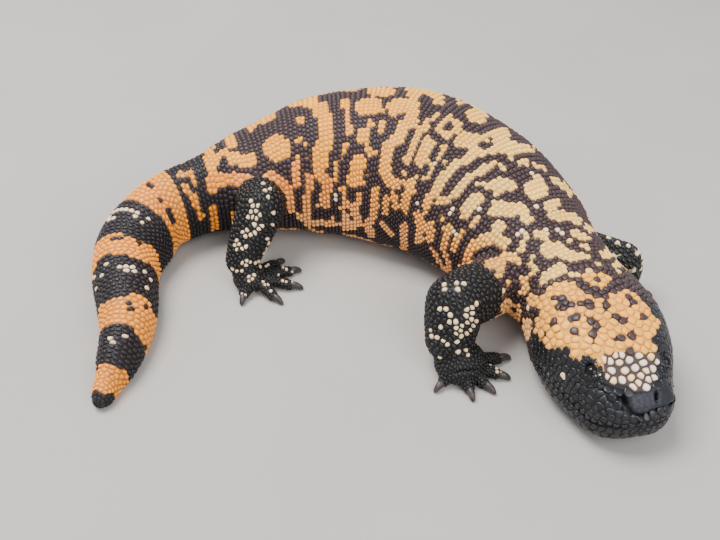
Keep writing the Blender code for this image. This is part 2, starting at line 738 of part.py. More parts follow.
def main():
    for old in list(bpy.data.objects):
        bpy.data.objects.remove(old)
    build_head()
    build_trunk()
    for name, leg in LEGS.items():
        build_leg(name, leg)
    finish_objects()


main()
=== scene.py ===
"""Looks of the gila monster: one skin, thousands of bony beads over it, eyes and claws.

Lengths are in metres in the model's own frame. The body's shape follows the same spine, sections
and limb joints as its solids. Places read off the picture are in pixels of its 720 x 540 frame.
"""

import json
import math

import bmesh
import bpy
import numpy as np
from mathutils import Matrix, Vector, noise
from mathutils.bvhtree import BVHTree
from mathutils.kdtree import KDTree

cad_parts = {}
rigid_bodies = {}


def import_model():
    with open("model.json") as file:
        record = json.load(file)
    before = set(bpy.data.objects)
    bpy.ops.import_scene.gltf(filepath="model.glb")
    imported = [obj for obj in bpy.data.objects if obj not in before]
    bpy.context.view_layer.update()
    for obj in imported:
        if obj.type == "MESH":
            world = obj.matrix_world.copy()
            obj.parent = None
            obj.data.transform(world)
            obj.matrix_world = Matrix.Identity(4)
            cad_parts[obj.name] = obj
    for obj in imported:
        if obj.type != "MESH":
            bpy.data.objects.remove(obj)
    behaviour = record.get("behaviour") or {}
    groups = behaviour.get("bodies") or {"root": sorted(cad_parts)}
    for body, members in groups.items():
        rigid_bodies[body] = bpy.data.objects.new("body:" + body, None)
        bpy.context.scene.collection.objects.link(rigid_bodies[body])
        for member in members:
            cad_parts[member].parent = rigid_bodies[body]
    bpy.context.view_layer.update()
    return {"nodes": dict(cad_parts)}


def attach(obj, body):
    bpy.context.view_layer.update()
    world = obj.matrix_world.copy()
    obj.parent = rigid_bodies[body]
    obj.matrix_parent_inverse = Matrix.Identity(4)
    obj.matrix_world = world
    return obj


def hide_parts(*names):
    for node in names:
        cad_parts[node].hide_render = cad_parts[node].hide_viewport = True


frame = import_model()
RNG = np.random.default_rng(7)

# ---- the body's shape, as in its solids ----
SPINE_STRETCHES = (
    (0.025, 6), (0.025, 22), (0.018, 4), (0.022, -28), (0.031, -48), (0.050, -20),
    (0.050, -14), (0.060, -40), (0.050, -21), (0.028, -14), (0.015, -3), (0.060, 0),
)
TAIL_TIP_HEADING = 76.0
MIDDLE_STATION = 0.241
SPINE_STEP = 0.001
BEND_SOFTENING = 0.012
SHOULDER_STATION = 0.341
NAPE_STATION = 0.367
SNOUT_STATION = 0.4315
SECTIONS = (
    (0.000, 0.0046, 0.000, 0.0098), (0.010, 0.0053, 0.000, 0.0125), (0.019, 0.0081, 0.000, 0.0172),
    (0.028, 0.0096, 0.000, 0.0200),
    (0.050, 0.0130, 0.000, 0.0250), (0.080, 0.0157, 0.000, 0.0298), (0.097, 0.0174, 0.000, 0.0325),
    (0.115, 0.0155, 0.0020, 0.0385), (0.135, 0.0160, 0.0025, 0.0415), (0.160, 0.0280, 0.0045, 0.0485),
    (0.201, 0.0350, 0.001, 0.0655), (0.246, 0.0432, 0.000, 0.0695), (0.286, 0.0418, 0.000, 0.0605),
    (0.318, 0.0350, 0.000, 0.0485), (0.341, 0.0243, 0.003, 0.0442), (0.356, 0.0228, 0.005, 0.0425),
    (0.370, 0.0258, 0.0045, 0.0420), (0.385, 0.0272, 0.0035, 0.0420), (0.399, 0.0258, 0.0030, 0.0395),
    (0.410, 0.0225, 0.0034, 0.0342), (0.4205, 0.0190, 0.0040, 0.0292), (0.4315, 0.0166, 0.0042, 0.0262),
)
TAIL_ROUNDING = 0.007
SNOUT_ROUNDING = 0.014
WIDEST_AT = 0.42
BACK_POWER, BELLY_POWER, HEAD_POWER, JAW_POWER = 2.1, 2.6, 2.5, 4.4
FLOOR_SINK = 0.0015
SWELLINGS = (
    (0.408, 52, 0.008, 16, 0.0012), (0.386, 5, 0.012, 30, 0.0012), (0.426, 30, 0.006, 24, 0.0010),
    (0.416, 20, 0.006, 18, -0.0010), (0.400, -25, 0.018, 22, 0.0012),
)
SHOULDER_FOLD = (0.346, -12, 0.015, 42, 0.0065)
# Station, degrees up the side of the head, and depth under its surface.
EYE, NOSTRIL, EAR = (0.4107, 43, 0.0018), (0.4243, 60, 0.0), (0.3770, 12, 0.0)
EYE_RADIUS = 0.0030
LID_RADIUS, LID_SIZE, LID_LIFT = 0.0009, (0.0035, 0.0025), 0.0011
NOSTRIL_SIZE = (0.0021, 0.0014, 0.0024)
EAR_SIZE = (0.0013, 0.0040, 0.0026)
SOCKET_SIZE = (0.0028, 0.0019, 0.0030)
LEFT_NOSTRIL_PINCH = (0.6, 0.45, 1)
NOSTRIL_DEPTH, EAR_DEPTH, SOCKET_DEPTH, MOUTH_DEPTH = 0.0030, 0.0022, 0.0016, 0.0018
MOUTH_START = 0.3835
MOUTH_LINE = (
    (0.446, 0.0166), (0.4305, 0.0162), (0.423, 0.0137), (0.404, 0.0146),
    (0.394, 0.0148), (0.387, 0.0122), (0.384, 0.0080),
)
LEGS = {
    "front_right": dict(
        station=0.324, side=1, root=(0.006, 0.014, 0.015), knee=(0.0180, 0.0585, 0.0270),
        wrist=(0.0245, 0.0645, 0.0145), palm=(0.0320, 0.0635, 0.0058), girth=0.0126, ankle_girth=0.0108,
        toes=((76, 0.0245), (46, 0.0225), (16, 0.0200), (-16, 0.0185), (-72, 0.0175)),
    ),
    "front_left": dict(
        station=0.324, side=-1, root=(0.008, 0.010, 0.023), knee=(0.0290, 0.0290, 0.0210),
        wrist=(0.0290, 0.0330, 0.0120), palm=(0.0310, 0.0320, 0.0050), girth=0.0092, ankle_girth=0.0078,
        toes=((42, 0.0165), (20, 0.0180), (0, 0.0185), (-20, 0.0175), (-50, 0.0150)),
    ),
    "hind_right": dict(
        station=0.158, side=1, root=(0.0075, 0.012, 0.026), knee=(0.0040, 0.0340, 0.0325),
        wrist=(-0.0100, 0.0465, 0.0125), palm=(-0.0080, 0.0520, 0.0050), girth=0.0115, ankle_girth=0.0080,
        toes=((30, 0.0230), (4, 0.0262), (-25, 0.0262), (-58, 0.0222), (-118, 0.0155)),
    ),
    "hind_left": dict(
        station=0.158, side=-1, root=(0.004, 0.012, 0.024), knee=(0.018, 0.0375, 0.0205),
        wrist=(0.006, 0.0445, 0.0120), palm=(0.010, 0.0475, 0.0050), girth=0.0098, ankle_girth=0.0078,
        toes=((40, 0.0190), (18, 0.0215), (-4, 0.0220), (-28, 0.0200), (-75, 0.0150)),
    ),
}
PALM_SHARE, PALM_THICKNESS = (1.02, 1.06, 0.60), 0.0018
TOE_RADIUS, TOE_ARCH, SOLE_SINK = 0.0029, 0.0022, 0.0007
CLAW_LENGTH, CLAW_RADIUS, CLAW_ROOT = 0.0047, 0.0021, 0.0012
CLAW_TIP_HEIGHT, CLAW_RISE = 0.0006, 0.0014
KNUCKLES = (1.06, 1.03, 1.0, 1.0, 1.06, 1.04, 0.96, 0.97, 1.04, 1.0, 0.93, 0.80)

# ---- the camera ----
TARGET = Vector((-0.0207, -0.0457, 0.0))
PITCH = math.radians(42)
DISTANCE = 0.40
FOCAL_PIXELS = 800.0
FRAME_PIXELS = (720.0, 540.0)
FORWARD = np.array((0, math.cos(PITCH), -math.sin(PITCH)))
UPWARD = np.array((0, math.sin(PITCH), math.cos(PITCH)))
CAMERA = np.array(TARGET) - DISTANCE * FORWARD

# Each light's name, place, size and power.
LIGHTS = (("key", (-0.42, 0.12, 1.1), 0.6, 23.0), ("fill", (0.5, -0.8, 0.8), 0.9, 11.0))

# ---- the skin and its beads ----
VOXEL = 0.0009
SKIN_SINK = 0.00045
SNOUT_PULL = 0.0011
COAT_LIMIT = 190_000
# The skin's and the beads' least height over the floor.
SKIN_FLOOR, BEAD_FLOOR = 0.0004, 0.0001
# The head's fine skin starts here, and the snout is drawn in over a length from here.
FACE_START = 0.372
DRAWN_START, DRAWN_LENGTH = 0.414, 0.017
# Beads of the trunk and tail: height, with what the flanks add and the belly loses; radius, with what
# the tail adds; groove, with what the flanks add; and the further groove between the tail's rings.
BEAD_HEIGHT, FLANK_HEIGHT, BELLY_LOSS = 0.00070, 0.00025, 0.0004
BEAD_RADIUS, TAIL_RADIUS = 0.0019, 0.0006
BEAD_GROOVE, FLANK_GROOVE, TAIL_RIB = 0.00018, 0.00008, 0.00055
LIMB_CLEAR = 0.0008
# Scales of the limbs: height, radius and groove as shares of their spacing, and the pale ones' groove.
SCALE_HEIGHT, SCALE_RADIUS, SCALE_GROOVE, DOT_GROOVE = 0.32, 0.66, 0.10, 0.20
# How much the beads of the body, the limbs and the bare skin differ in brightness.
BODY_SPECKLE, LIMB_SPECKLE, SKIN_SPECKLE = 0.26, 0.35, 0.1
# How many sides a bead has on the body, the limbs and the head.
BODY_SIDES, LIMB_SIDES, HEAD_SIDES = 10, 10, 14
# How far the head's plates keep from the mouth, and from the nostrils and ears in their radii.
LIP_CLEAR, NOSTRIL_CLEAR, EAR_CLEAR = 0.0031, 1.7, 1.2
LIP_RIB = 0.0011
# The yellow of the crown keeps this far from the eye, in its lids' radii.
CROWN_CLEAR = 1.45
# The nose's pink plates are right of and below this pixel.
PINK_CORNER = (604, 352)
# What the picture leaves unpainted of the belly lies below this sine of the angle round the body.
BELLY_SINE = -0.45
# How near the body a place has to be to count as the head's own skin.
HEAD_CLEAR = 0.004
NOSE_START = 0.40
LID_PITCH, LID_INNER, LID_OUTER = 0.00115, 0.80, 1.55
# How far apart the limbs' scales are at each place along a limb, of 1 for the whole.
LIMB_SPACING = ((0, 0.0026), (0.15, 0.0023), (0.5, 0.0021), (0.68, 0.0018), (0.80, 0.0015), (1.0, 0.0014))
# Height over the mouth line and pitch of the upper and the lower row of lip plates.
LIP_ROWS = ((0.0020, 0.0031), (-0.0019, 0.0032))
# The head's plates: on the crown, on the smooth sides, the round ones of the nose, the lips and the lids.
PLATE_HEIGHTS = (0.00075, 0.00032, 0.00095, 0.0004, 0.0002)
PLATE_GROOVES = (0.00018, 0.00012, 0.0007, 0.0004, 0.0001)
TAIL_ROW, TRUNK_ROW = 0.0022, 0.0023
TAIL_PITCH, TRUNK_PITCH = 0.0032, 0.0026
# How far along each limb, of 1 for the whole, the trunk's skin drapes it: in LEGS' order.
DRAPED = (0.165, 0.10, 0.12, 0.12)
COLLAR_STATION = 0.384
# The tail is behind the first station, and wears its bands behind the second.
TAIL_START, BANDS_START = 0.150, 0.122


def ramp(value, start, width):
    """0 up to the start and 1 from a width further on; a negative width runs the other way."""
    return np.clip((value - start) / width, 0, 1)


def interpolate(stations, places, values):
    """A smooth curve through the values that never overshoots them."""
    places, values = np.asarray(places, float), np.asarray(values, float)
    widths = np.diff(places)
    slopes = np.diff(values) / widths
    tangents = np.zeros_like(values)
    same_way = slopes[1:] * slopes[:-1] > 0
    total = np.where(same_way, slopes[1:] + slopes[:-1], 1.0)
    tangents[1:-1] = np.where(same_way, 2 * slopes[1:] * slopes[:-1] / total, 0.0)
    tangents[0], tangents[-1] = slopes[0], slopes[-1]
    i = np.clip(np.searchsorted(places, stations) - 1, 0, len(widths) - 1)
    t = np.clip((stations - places[i]) / widths[i], 0, 1)
    rise = widths[i] * (tangents[i] * (t**3 - 2 * t**2 + t) + tangents[i + 1] * (t**3 - t**2))
    return values[i] * (2 * t**3 - 3 * t**2 + 1) + values[i + 1] * (3 * t**2 - 2 * t**3) + rise


def trace_spine():
    """Stations along the spine with their plan position and heading in radians."""
    knots = np.concatenate([[0], np.cumsum([length for length, _ in SPINE_STRETCHES])])
    turns = np.concatenate([[0], np.cumsum([turn for _, turn in SPINE_STRETCHES])])
    stations = np.arange(0, knots[-1] + SPINE_STEP, SPINE_STEP)
    window = np.linspace(-BEND_SOFTENING, BEND_SOFTENING, 9)
    headings = np.mean([np.interp(stations + w, knots, turns) for w in window], axis=0)
    headings = np.radians(TAIL_TIP_HEADING + headings)
    plan = []
    for wave in (np.cos(headings), np.sin(headings)):
        path = np.concatenate([[0], np.cumsum((wave[1:] + wave[:-1]) / 2 * SPINE_STEP)])
        plan.append(path - np.interp(MIDDLE_STATION, stations, path))
    return stations, plan[0], plan[1], headings


SPINE = trace_spine()


def spine_at(station):
    stations, x, y, headings = SPINE
    return tuple(np.interp(station, stations, values) for values in (x, y, headings))


def placed(station, forwards, outwards, up, side):
    """A point given from the spine at a station: forwards, out to that side, and up from the floor."""
    x, y, heading = spine_at(station)
    cos, sin = math.cos(heading), math.sin(heading)
    out = side * outwards
    return Vector((x + forwards * cos + out * sin, y + forwards * sin - out * cos, up))


def body_section(station):
    """Half width, height of the widest line, reach up, reach down and shape powers at each station."""
    places, widths, bottoms, tops = (np.array(column) for column in zip(*SECTIONS))
    half_width = interpolate(station, places, widths)
    bottom = interpolate(station, places, bottoms)
    top = interpolate(station, places, tops)
    bottom = bottom - FLOOR_SINK * (bottom < FLOOR_SINK)
    tail = np.clip(1 - station / TAIL_ROUNDING, 0, 1)
    snout = np.clip(1 - (SNOUT_STATION - station) / SNOUT_ROUNDING, 0, 1)
    closing = np.sqrt(1 - tail**2) * np.sqrt(1 - snout**2.4)
    middle = bottom + WIDEST_AT * (top - bottom)
    headness = ramp(station, SHOULDER_STATION, NAPE_STATION - SHOULDER_STATION)
    back_power = BACK_POWER + (HEAD_POWER - BACK_POWER) * headness
    belly_power = BELLY_POWER + (JAW_POWER - BELLY_POWER) * headness
    reaches = (top - middle) * closing, (middle - bottom) * closing
    return half_width * closing, middle, *reaches, back_power, belly_power, closing


def swelling(station, angle):
    """How far the body's own forms stand out from the plain loft."""
    forms = [(place, centre, *size) for place, at, *size in SWELLINGS
             for centre in (math.radians(at), math.pi - math.radians(at))]
    forms.append((SHOULDER_FOLD[0], math.radians(SHOULDER_FOLD[1]), *SHOULDER_FOLD[2:]))
    rise = np.zeros(np.broadcast(station, angle).shape)
    for place, centre, along, around, height in forms:
        turn = np.angle(np.exp(1j * (angle - centre)))
        reach = ((station - place) / along) ** 2 + (turn / math.radians(around)) ** 2
        rise = rise + height * np.exp(-reach)
    return rise


def body_surface(station, angle, swell=0.0):
    """Points of the body's surface, and its normals in the plane of the section."""
    half_width, middle, up, down, back_power, belly_power, closing = body_section(station)
    cos, sin = np.cos(angle), np.sin(angle)
    power = np.where(sin >= 0, back_power, belly_power)
    reach = np.maximum(np.where(sin >= 0, up, down), 1e-9)
    width = np.maximum(half_width, 1e-9)
    radius = (np.abs(cos / width) ** power + np.abs(sin / reach) ** power) ** (-1 / power)
    across, rise = radius * cos, radius * sin
    normal_across = np.sign(cos) * np.abs(across / width) ** (power - 1) / width
    normal_rise = np.sign(sin) * np.abs(rise / reach) ** (power - 1) / reach
    length = np.maximum(np.hypot(normal_across, normal_rise), 1e-12)
    normal_across, normal_rise = normal_across / length, normal_rise / length
    out = (swell + swelling(station, angle)) * closing
    across = across + out * normal_across
    height = np.maximum(middle + rise + out * normal_rise, 0)
    x, y, heading = spine_at(station)
    points = np.stack([x + across * np.sin(heading), y - across * np.cos(heading), height], -1)
    normals = np.stack([normal_across * np.sin(heading), -normal_across * np.cos(heading), normal_rise], -1)
    return points, normals


def body_place(points):
    """The station and angle of each point against the spine, and how far outside the body it is."""
    stations, x, y, headings = SPINE
    best = np.zeros(len(points), int)
    for first in range(0, len(points), 4000):
        block = points[first:first + 4000]
        apart = (block[:, None, 0] - x) ** 2 + (block[:, None, 1] - y) ** 2
        best[first:first + 4000] = apart.argmin(1)
    east, north, heading = points[:, 0] - x[best], points[:, 1] - y[best], headings[best]
    ahead = east * np.cos(heading) + north * np.sin(heading)
    station = np.clip(stations[best] + ahead, 0, SNOUT_STATION - 1e-4)
    cx, cy, heading = spine_at(station)
    across = (points[:, 0] - cx) * np.sin(heading) - (points[:, 1] - cy) * np.cos(heading)
    middle = body_section(station)[1]
    rise = points[:, 2] - middle
    angle = np.arctan2(rise, across)
    surface, _ = body_surface(station, angle)
    reach = np.hypot((surface[:, 0] - cx) * np.sin(heading) - (surface[:, 1] - cy) * np.cos(heading),
                     surface[:, 2] - middle)
    return station, angle, np.hypot(across, rise) - reach


def picture_of(points):
    """The picture's pixel that shows each point."""
    away = points - CAMERA
    depth = away @ FORWARD
    u = FRAME_PIXELS[0] / 2 + FOCAL_PIXELS * away[:, 0] / depth
    v = FRAME_PIXELS[1] / 2 - FOCAL_PIXELS * (away @ UPWARD) / depth
    return u, v


def towards_camera(points, normals):
    """Above 0 where a place faces the camera."""
    return ((CAMERA - points) * normals).sum(1)


def add_object(name, data):
    made = bpy.data.objects.new(name, data)
    bpy.context.scene.collection.objects.link(made)
    return made


def mesh_object(name, vertices, faces):
    mesh = bpy.data.meshes.new(name)
    mesh.from_pydata([tuple(map(float, v)) for v in vertices], [], [tuple(map(int, f)) for f in faces])
    return add_object(name, mesh)


def ring_faces(rings, sides, closed=False):
    """Quads that join each ring of vertices to the next one and, if closed, the last to the first."""
    faces = []
    for i in range(rings if closed else rings - 1):
        here, there = i * sides, (i + 1) % rings * sides
        for k in range(sides):
            m = (k + 1) % sides
            faces.append((here + k, here + m, there + m, there + k))
    return faces


def capped_faces(rings, sides):
    """The rings' quads with one face over each end."""
    ends = [tuple(reversed(range(sides))), tuple(range((rings - 1) * sides, rings * sides))]
    return ring_faces(rings, sides) + ends


def travelled(line):
    """How far along a line each of its points is."""
    return np.concatenate([[0], np.cumsum(np.linalg.norm(np.diff(line, axis=0), axis=1))])


def along_line(line, at):
    """The points at these distances along a line."""
    reached = travelled(line)
    return np.stack([np.interp(at, reached, line[:, axis]) for axis in range(3)], 1)


def read_array(items, key, kind, columns=1):
    """One property of a mesh's items, with a row for each item."""
    flat = np.empty(len(items) * columns, kind)
    items.foreach_get(key, flat)
    return flat.reshape(-1, columns)


def write_array(items, key, values, kind=np.float32):
    items.foreach_set(key, values.astype(kind).ravel())


def places_of(mesh):
    """A mesh's vertices and their smooth normals."""
    return (read_array(mesh.vertices, "co", np.float32, 3).astype(float),
            read_array(mesh.vertex_normals, "vector", np.float32, 3).astype(float))


def first_corners(mesh):
    """The first vertex of each face."""
    starts = read_array(mesh.polygons, "loop_start", np.int32)[:, 0]
    return read_array(mesh.loops, "vertex_index", np.int32)[starts, 0]


def set_tint(mesh, colours):
    """Gives each vertex the colour that the materials read as tint."""
    layer = mesh.color_attributes.new("tint", "FLOAT_COLOR", "POINT")
    write_array(layer.data, "color", np.concatenate([colours, np.ones((len(colours), 1))], 1))


def tree_of(places):
    """A tree that finds the nearest of the places."""
    tree = KDTree(len(places))
    for i, place in enumerate(places):
        tree.insert(place, i)
    tree.balance()
    return tree


def frame_along(direction, up=Vector((0, 0, 1))):
    """A rotation whose Z runs along the direction and whose Y is as near up as it can be."""
    z = Vector(direction).normalized()
    x = Vector(up).cross(z)
    if x.length < 1e-6:
        x = Vector((1, 0, 0)).cross(z)
    x.normalize()
    return Matrix((x, z.cross(x), z)).transposed()


def rounded_path(points, count, passes=3):
    """Points evenly spaced along a line whose corners are cut round."""
    line = [Vector(p) for p in points]
    for _ in range(passes):
        cut = [line[0]]
        for a, b in zip(line, line[1:]):
            cut += [a.lerp(b, 0.25), a.lerp(b, 0.75)]
        line = cut + [line[-1]]
    line = np.array(line)
    return [Vector(point) for point in along_line(line, np.linspace(0, travelled(line)[-1], count))]


def tube(name, path, widths, heights, sides, up=Vector((0, 0, 1))):
    """A closed tube along a path, with an elliptic section at each point of it."""
    vertices = []
    for i, point in enumerate(path):
        turn = frame_along(path[min(i + 1, len(path) - 1)] - path[max(i - 1, 0)], up)
        for k in range(sides):
            angle = 2 * math.pi * (k + 0.5) / sides
            across, rise = widths[i] * math.cos(angle), heights[i] * math.sin(angle)
            vertices.append(point + turn @ Vector((across, rise, 0)))
    return mesh_object(name, vertices, capped_faces(len(path), sides))


def ball(name, centre, turn, size, segments=24, rings=16):
    shape = bmesh.new()
    bmesh.ops.create_uvsphere(shape, u_segments=segments, v_segments=rings, radius=1.0)
    mesh = bpy.data.meshes.new(name)
    shape.to_mesh(mesh)
    shape.free()
    mesh.transform(Matrix.Translation(centre) @ turn.to_4x4() @ Matrix.Diagonal((*size, 1)))
    return add_object(name, mesh)


def joined(parts, name):
    for other in bpy.context.scene.objects:
        other.select_set(False)
    for part in parts:
        part.select_set(True)
    bpy.context.view_layer.objects.active = parts[0]
    bpy.ops.object.join()
    made = bpy.context.view_layer.objects.active
    made.name = made.data.name = name
    made.select_set(False)
    return made


def limb_tube(name, a, b, radius_a, radius_b, bulge):
    """A length of limb with domed ends, a little fuller along its middle."""
    axis = b - a
    length = axis.length
    steps = 26
    path, widths = [], []
    for i in range(steps + 1):
        along = -radius_a + (length + radius_a + radius_b) * (0.5 - 0.5 * math.cos(math.pi * i / steps))
        share = min(max(along / length, 0), 1)
        radius = radius_a + (radius_b - radius_a) * share + bulge * math.sin(math.pi * share)
        beyond = -along if along < 0 else max(along - length, 0)
        path.append(a + axis * (along / length))
        widths.append(math.sqrt(max(radius * radius - beyond * beyond, 1e-9)))
    return tube(name, path, widths, widths, 28)


def limb_joints(leg):
    return [placed(leg["station"], *leg[joint], leg["side"]) for joint in ("root", "knee", "wrist", "palm")]


def palm_size(leg):
    """The palm's half length, half width and half height, from the thickness of the ankle."""
    long, wide, high = (share * leg["ankle_girth"] for share in PALM_SHARE)
    return long, wide, high + PALM_THICKNESS


def toe_lines(leg):
    """Each toe's line from the palm to its tip, and its heading."""
    palm = limb_joints(leg)[3]
    _, _, heading = spine_at(leg["station"])
    lines = []
    for turn, reach in leg["toes"]:
        way = heading + math.radians(turn) * leg["side"]
        ahead = Vector((math.cos(way), math.sin(way), 0))
        low = TOE_RADIUS * 0.85 - SOLE_SINK
        tip = palm + ahead * (reach - CLAW_LENGTH)
        tip.z = low
        root = palm + ahead * 0.003
        bend = root.lerp(tip, 0.6)
        bend.z = low + TOE_ARCH
        lines.append((rounded_path([root, bend, tip], 12), ahead))
    return lines


def head_place(place, side):
    """A place of the head and its turn: X forward along the head, Y up along its surface, Z outward."""
    station, degrees, sink = place
    angle = math.radians(degrees if side > 0 else 180 - degrees)
    points, normals = body_surface(np.array([station]), np.array([angle]))
    _, _, heading = spine_at(station)
    out = Vector(normals[0]).normalized()
    forward = Vector((math.cos(heading), math.sin(heading), 0))
    x = (forward - out * forward.dot(out)).normalized()
    return Vector(points[0]) - out * sink, Matrix((x, out.cross(x), out)).transposed()


def lid_roll(name, side):
    """The two lids: one almond-shaped roll round the eye, thicker above than below."""
    centre, turn = head_place(EYE, side)
    sides, steps = 12, 40
    vertices = []
    for i in range(steps):
        a = 2 * math.pi * i / steps
        along = Vector((LID_SIZE[0] * math.cos(a), LID_SIZE[1] * math.sin(a), 0))
        thick = LID_RADIUS * (1.12 + 0.28 * math.sin(a) * side)
        out = along.normalized()
        for k in range(sides):
            b = 2 * math.pi * k / sides
            rolled = thick * (out * math.cos(b) + Vector((0, 0, math.sin(b))))
            vertices.append(centre + turn @ (along + Vector((0, 0, LID_LIFT)) + rolled))
    return mesh_object(name, vertices, ring_faces(steps, sides, closed=True))


def build_skin():
    """The whole animal's flesh as one closed surface."""
    blunt, tip = SNOUT_STATION - 0.003, SNOUT_STATION - 0.00002
    stations = np.concatenate([[0.00002], np.arange(0.0004, blunt, 0.001), np.linspace(blunt, tip, 14)])
    around = np.radians(np.arange(0, 360, 2.0))
    grid = np.concatenate([body_surface(np.full_like(around, s), around, -SKIN_SINK)[0] for s in stations])
    parts = [mesh_object("body", grid, capped_faces(len(stations), len(around)))]
    for leg in LEGS.values():
        root, knee, wrist, palm = limb_joints(leg)
        girth, ankle = leg["girth"] - SKIN_SINK, leg["ankle_girth"] - SKIN_SINK
        parts.append(limb_tube("limb", root, knee, girth * 1.1, girth, 0.0006))
        parts.append(limb_tube("limb", knee, wrist, girth, ankle, 0.0005))
        parts.append(limb_tube("limb", wrist, palm, ankle * 0.95, palm_size(leg)[2] - 0.0003, 0.0))
        _, _, heading = spine_at(leg["station"])
        size = [s - SKIN_SINK / 2 for s in palm_size(leg)]
        parts.append(ball("palm", palm, Matrix.Rotation(heading, 3, "Z"), size))
        for line, _ in toe_lines(leg):
            radius = (TOE_RADIUS - 0.0001) * np.linspace(1.02, 0.88, 12) * KNUCKLES
            parts.append(tube("toe", line, radius, radius, 16))
    for side in (1, -1):
        parts.append(lid_roll("lids", side))
    skin = joined(parts, "skin")
    remesh = skin.modifiers.new("one_surface", "REMESH")
    remesh.mode = "VOXEL"
    remesh.voxel_size = VOXEL
    bpy.context.view_layer.update()
    made = bpy.data.meshes.new_from_object(skin.evaluated_get(bpy.context.evaluated_depsgraph_get()))
    skin.modifiers.clear()
    skin.data = made
    made.name = "skin"
    return skin


def relaxed(points, edges, weights, rounds):
    """Points eased towards the mean of their neighbours, by each one's weight."""
    count = np.bincount(edges.ravel(), minlength=len(points))[:, None]
    for _ in range(rounds):
        total = np.zeros_like(points)
        for axis in range(3):
            total[:, axis] = np.bincount(edges[:, 0], points[edges[:, 1], axis], len(points))
            total[:, axis] += np.bincount(edges[:, 1], points[edges[:, 0], axis], len(points))
        points = points + weights[:, None] * (total / np.maximum(count, 1) - points)
    return points


def mouth_height(station):
    places, heights = zip(*sorted(MOUTH_LINE))
    return np.interp(station, places, heights)


def local_place(points, centre, turn):
    return (points - np.array(centre)) @ np.array(turn)


def hollow(points, place, side, size, share=1.0, power=4):
    """1 in an oval opening of the head, 0 outside it."""
    local = local_place(points, *head_place(place, side)) / np.array(size)
    return np.exp(-(np.hypot(local[:, 0], local[:, 1]) * share) ** power) * (np.abs(local[:, 2]) < 2)


def nostril_hollow(points, side):
    """The left nostril, on the side turned away, is pinched."""
    size = np.array(NOSTRIL_SIZE) * ((1, 1, 1) if side > 0 else LEFT_NOSTRIL_PINCH)
    return hollow(points, NOSTRIL, side, size, 0.82)


def refine(mesh, near):
    """Halves the edges between the near vertices of a mesh."""
    shape = bmesh.new()
    shape.from_mesh(mesh)
    shape.verts.ensure_lookup_table()
    chosen = [e for e in shape.edges if near[e.verts[0].index] and near[e.verts[1].index]]
    bmesh.ops.subdivide_edges(shape, edges=chosen, cuts=1, use_grid_fill=True, smooth=0.4)
    bmesh.ops.triangulate(shape, faces=[f for f in shape.faces if len(f.verts) > 4])
    shape.to_mesh(mesh)
    shape.free()
    mesh.update()


def carved_depth(points, normals):
    """How deep the mouth, folds, nostrils, ears and eyes go into the head; below 0 the nose stands out."""
    station, angle, outside = body_place(points)
    apart = (points[:, 2] - mouth_height(station)) / 0.0008
    depth = MOUTH_DEPTH * np.exp(-apart**2) * ramp(station, MOUTH_START, 0.002)
    u, v, seen = seen_places(points, normals, station, angle)
    for width, fold, *line in FACE_CREASES:
        apart = stroke_distance(u, v, paired(line)) / width
        depth += np.where(seen & (station > 0.37) & (outside < 0.003), fold * np.exp(-apart**2), 0)
    for side in (1, -1):
        depth += NOSTRIL_DEPTH * nostril_hollow(points, side)
        depth += EAR_DEPTH * hollow(points, EAR, side, EAR_SIZE, 0.95)
        depth += SOCKET_DEPTH * hollow(points, EYE, side, SOCKET_SIZE, power=6)
    block = ramp(nose_depth(points, normals), 0, 3) * (station > NOSE_START) * (outside < HEAD_CLEAR)
    return depth - block * (0.00035 + 0.00012 * noise_at(points, 0.0011, 3.0))


def finish_skin(skin):
    """Smooths the one surface, refines the head, carves its openings and folds, and draws in the snout."""
    mesh = skin.data
    points, _ = places_of(mesh)
    station, _, outside = body_place(points)
    joint = ramp(outside, 0.0006, 0.001) * ramp(outside, 0.009, -0.003)
    edges = read_array(mesh.edges, "vertices", np.int32, 2)
    points = relaxed(points, edges, np.full(len(points), 0.5), 3)
    points = relaxed(points, edges, 0.5 * joint, 10)
    write_array(mesh.vertices, "co", points)
    refine(mesh, (station > FACE_START) & (outside < HEAD_CLEAR))
    points, normals = places_of(mesh)
    station, _, outside = body_place(points)
    points = points - normals * carved_depth(points, normals)[:, None]
    pull = SNOUT_PULL * ramp(station, DRAWN_START, DRAWN_LENGTH) * (outside < HEAD_CLEAR)
    heading = spine_at(SNOUT_STATION)[2]
    points[:, 0] -= pull * math.cos(heading)
    points[:, 1] -= pull * math.sin(heading)
    points[:, 2] = np.maximum(points[:, 2], SKIN_FLOOR)
    write_array(mesh.vertices, "co", points)
    mesh.update()
    mesh.shade_smooth()
    return skin


# ---- where the beads grow ----
CELLS_AROUND = [(x, y, z) for x in (-1, 0, 1) for y in (-1, 0, 1) for z in (-1, 0, 1)]


